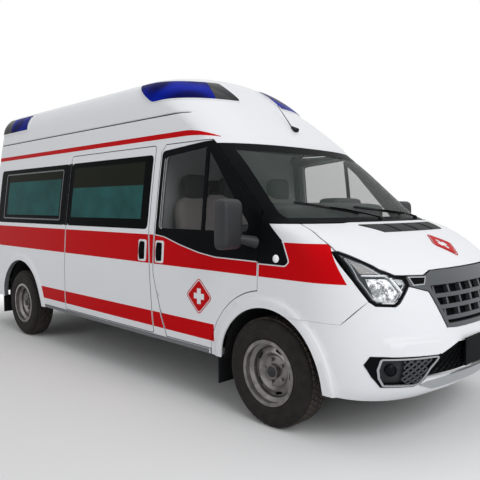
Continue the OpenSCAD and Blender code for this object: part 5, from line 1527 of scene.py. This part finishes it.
# a closed section of radius and width, turned about the axle
def turnSection(name, centre, section, sign, material, body, n, replaced=None):
    x, y, z = centre
    turns = np.linspace(0, 2 * math.pi, n, endpoint=False)
    verts = [(x + q * math.sin(t), y + sign * v, z + q * math.cos(t)) for t in turns for q, v in section]
    m = len(section)
    faces = [(i * m + k, i * m + (k + 1) % m, (i + 1) % n * m + (k + 1) % m, (i + 1) % n * m + k)
             for i in range(n) for k in range(m)]
    return newPiece(name, verts, faces if sign > 0 else [f[::-1] for f in faces], material, body,
                    replaced, sharp=40)


def makeTyre(name, node, body, sign):
    x, y, z = middle(node)
    turnSection(name, (x, y, z), tyreSection(), 1, tyreRubber, body, tyre["section"], replaced=node)
    turnSection(name + "HubCap", (x, y, z), hubSection, sign, housingGrey, body, 32)
    points, angles = [], []
    centre = tyre["radius"] - tyre["block"][2] / 2
    for j, rib in enumerate(tyre["ribs"]):
        for i in range(tyre["blocks"]):
            t = (i + 0.5 * (j % 2)) / tyre["blocks"] * 2 * math.pi
            points.append((x + centre * math.sin(t), y + rib, z + centre * math.cos(t)))
            angles.append((0, t, 0.12 * (1 - 2 * (j % 2))))
    makeRepeat(name + "Tread", blockTree, points, {"Block size": tyre["block"], "Material": treadRubber},
               body, turns=angles)


for end in ("front", "rear"):
    for sign, word, side in sides:
        spot = end + "_" + side
        makeTyre("tyre" + end.capitalize() + word, "tyre_" + spot, "wheel_" + spot, sign)
print("tyres made")

# door mirrors: rounded housing, silvered glass, arm
mirror = {"x": fx - 0.190, "y": 1.135, "z": 1.345, "size": (0.108, 0.186, 0.330), "taper": 0.20,
          "glass": (0.003, 0.150, 0.276), "glassStand": 0.0005, "armX": (0.012, 0.078), "armIn": 0.03,
          "armY": 0.955, "armZ": (1.258, 1.222), "armRadii": (0.028, 0.030), "armFlare": (0.0002, 0.0003)}
for sign, word, side in sides:
    body = "door_front_" + side
    centre = np.array([mirror["x"], sign * mirror["y"], mirror["z"]])
    shell, faces = softBox(mirror["size"], 8, count=26)
    shell[:, 1:] *= 1 - mirror["taper"] * np.clip(shell[:, :1] / mirror["size"][0] * 2, 0, 1) ** 2
    newPiece("mirrorHousing" + word, shell + centre, faces, housingGrey, body,
             "mirror_" + side)
    pane, faces = softBox(mirror["glass"], 7, count=16)
    pane = pane + centre - np.array([mirror["size"][0] / 2 + mirror["glassStand"], 0, 0])
    newPiece("mirrorGlass" + word, pane, faces, mirrorGlass, body)
    (x0, x1), (z0, z1) = mirror["armX"], mirror["armZ"]
    arm = np.linspace((mirror["x"] + x0, sign * (mirror["y"] - mirror["armIn"]), z0),
                      (mirror["x"] + x1, sign * mirror["armY"], z1), 8)
    (wide, high), (wideFlare, highFlare) = mirror["armRadii"], mirror["armFlare"]
    radii = [(wide + wideFlare * i * i, high + highFlare * i * i) for i in range(8)]
    makeTube("mirrorArm" + word, arm, radii, housingGrey, body)
print("mirrors made")

# cab seats: stuffed cushions on a plinth
seats = {"Driver": (0.18, 0.72, (0.0,)), "Bench": (-0.82, 0.04, (-0.215, 0.215))}
cushion = {"x": fx - 0.885, "z": 0.912, "length": 0.585, "height": 0.155, "tilt": 3,
           "grooves": [(0, 0.45, 0.05)]}
backrest = {"x": fx - 1.118, "z": 1.250, "thick": 0.150, "height": 0.640, "tilt": -10,
            "grooves": [(0, -0.25, 0.06), (0, 0.35, 0.06)]}
headrest = {"x": fx - 1.150, "z": 1.622, "thick": 0.100, "width": 0.270, "height": 0.210, "tilt": -6}
plinth = {"x": (fx - 1.085, fx - 0.665), "z": (0.602, 0.865)}
stuffing = {"exponent": 4.2, "waist": 0.02, "fill": 0.8, "gap": 0.006, "seam": (1, 0.0, 0.12)}


# a stuffed cushion, tilted about the width; an upright one is drawn lying down and then stood up
def makeSoft(name, size, centre, tilt, material, grooves=(), upright=False):
    v, faces = softBox(size, stuffing["exponent"], stuffing["waist"], grooves, 24)
    if upright:
        v = v[:, ::-1]
        faces = [f[::-1] for f in faces]
    c, s = math.cos(math.radians(tilt)), math.sin(math.radians(tilt))
    turned = np.column_stack([v[:, 0] * c + v[:, 2] * s, v[:, 1], v[:, 2] * c - v[:, 0] * s])
    piece = newPiece(name, turned + np.array(centre), faces, material, "van")
    return piece


for word, (y0, y1, heads) in seats.items():
    y, wide = (y0 + y1) / 2, y1 - y0 - stuffing["gap"]
    seams = [stuffing["seam"]] if len(heads) > 1 else []
    size = (cushion["length"], wide, cushion["height"])
    pad = makeSoft("seatCushion" + word, size, (cushion["x"], y, cushion["z"]), cushion["tilt"],
                   seatCloth, seams + cushion["grooves"])
    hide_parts("cab_seats")
    size = (backrest["height"], wide, backrest["thick"])
    makeSoft("seatBack" + word, size, (backrest["x"], y, backrest["z"]), backrest["tilt"], seatCloth,
             seams + backrest["grooves"], True)
    for i, shift in enumerate(heads):
        size = (headrest["thick"], headrest["width"], headrest["height"])
        makeSoft("headrest%s%d" % (word, i + 1), size, (headrest["x"], y + shift, headrest["z"]),
                 headrest["tilt"], headCloth)
    (x0, x1), (z0, z1) = plinth["x"], plinth["z"]
    base, faces = softBox((x1 - x0, wide, z1 - z0), 14, count=8)
    base = base + np.array([(x0 + x1) / 2, y, (z0 + z1) / 2])
    newPiece("seatPlinth" + word, base, faces, dashPlastic, "van")
print("seats made")

# padded dashboard top, instrument hood and inside mirror
cabin = {
    "dashPad": {"size": (0.44, 1.34, 0.170), "at": (fx - 0.275, 0.0, 1.405), "exponent": 5,
                "material": dashPlastic},
    "instrumentHood": {"size": (0.24, 0.40, 0.110), "at": (fx - 0.400, 0.420, 1.480), "exponent": 4,
                       "material": dashPlastic},
    "insideMirror": {"size": (0.030, 0.230, 0.068), "at": (fx - 0.520, 0.0, 1.830), "exponent": 4,
                     "material": satinBlack},
}
for name, part in cabin.items():
    v, faces = softBox(part["size"], part["exponent"], count=16)
    newPiece(name, v + np.array(part["at"]), faces, part["material"], "van")
stem = {"low": (fx - 0.510, 0.0, 1.850), "high": (fx - 0.470, 0.0, 1.905), "radius": 0.008}
path = np.linspace(stem["low"], stem["high"], 5)
makeTube("insideMirrorStem", path, [stem["radius"]] * 5, satinBlack, "van", 10)

# finishes of the frame's own pieces that stay in view
cadLooks = (
    (underseal, ("floor_pan", "wheel_tubs")),
    (castIron, ("engine", "front_suspension", "exhaust", "prop_shaft", "rear_axle", "leaf_springs",
                "knuckle_right", "knuckle_left")),
    (blackPlastic, ("bumper_rear", "mudflaps", "fuel_tank")),
    (dashPlastic, ("dashboard",)),
    (bulkheadPaint, ("partition",)),
    (satinBlack, ("plate_board",)),
    (wheelPaint, ("rim_front_right", "rim_front_left", "rim_rear_right", "rim_rear_left")),
)
for material, names in cadLooks:
    for name in names:
        nodes[name].data.materials.clear()
        nodes[name].data.materials.append(material)

# studio: pale floor, soft lamps, white behind
studio = {"floor": "#E6E7E8", "reach": 30, "ambient": 0.40, "aim": (0, 0, 1.0), "fade": (2.9, 5.0)}
lamps = {"keyLamp": {"place": (8, -2, 5), "power": 330, "size": 5},
         "sideLamp": {"place": (-3, -9, 5), "power": 110, "size": 6},
         "topLamp": {"place": (0, 0, 9), "power": 170, "size": 8}}
floorPaper, tree, shader = newMaterial("backdropPaper", studio["floor"], 0.85)
addGrain(tree, shader, 12, 0.02)


# what the eye, metal and glass meet: white behind, and the floor fading into it
def seenRays(tree):
    path = addNode(tree, "ShaderNodeLightPath").outputs
    inputs = {0: path["Is Glossy Ray"], 1: path["Is Transmission Ray"]}
    through = addNode(tree, "ShaderNodeMath", inputs, operation="MAXIMUM").outputs[0]
    inputs = {0: path["Is Camera Ray"], 1: through}
    return addNode(tree, "ShaderNodeMath", inputs, operation="MAXIMUM").outputs[0]


place = addNode(tree, "ShaderNodeTexCoord")
away = addNode(tree, "ShaderNodeVectorMath", {0: place.outputs["Object"]}, operation="LENGTH")
inputs = {"Value": away.outputs["Value"], "From Min": studio["fade"][0], "From Max": studio["fade"][1]}
fade = addNode(tree, "ShaderNodeMapRange", inputs, interpolation_type="SMOOTHSTEP")
white = addNode(tree, "ShaderNodeEmission", {"Color": hexColour("#FFFFFF")})
inputs = {0: fade.outputs["Result"], 1: seenRays(tree)}
share = addNode(tree, "ShaderNodeMath", inputs, operation="MULTIPLY").outputs[0]
inputs = {0: share, 1: shader.outputs["BSDF"], 2: white.outputs["Emission"]}
mixed = addNode(tree, "ShaderNodeMixShader", inputs)
tree.links.new(mixed.outputs["Shader"], tree.nodes["Material Output"].inputs["Surface"])
r = studio["reach"]
mesh = bpy.data.meshes.new("studioFloor")
mesh.from_pydata([(-r, -r, 0), (r, -r, 0), (r, r, 0), (-r, r, 0)], [], [(0, 1, 2, 3)])
mesh.materials.append(floorPaper)
floor = bpy.data.objects.new("studioFloor", mesh)
bpy.context.scene.collection.objects.link(floor)
world = bpy.data.worlds.new("studioWorld")
world.use_nodes = True
bpy.context.scene.world = world
tree = world.node_tree
tree.nodes.clear()
inputs = {0: seenRays(tree), 1: 1 - studio["ambient"], 2: studio["ambient"]}
strength = addNode(tree, "ShaderNodeMath", inputs, operation="MULTIPLY_ADD").outputs[0]
back = addNode(tree, "ShaderNodeBackground", {"Color": hexColour("#FFFFFF"), "Strength": strength})
addNode(tree, "ShaderNodeOutputWorld", {"Surface": back.outputs["Background"]})
for name, part in lamps.items():
    data = bpy.data.lights.new(name, "AREA")
    data.energy = part["power"]
    data.size = part["size"]
    light = bpy.data.objects.new(name, data)
    light.location = part["place"]
    light.rotation_euler = (Vector(studio["aim"]) - Vector(part["place"])).to_track_quat("-Z", "Y").to_euler()
    bpy.context.scene.collection.objects.link(light)
print("studio made")
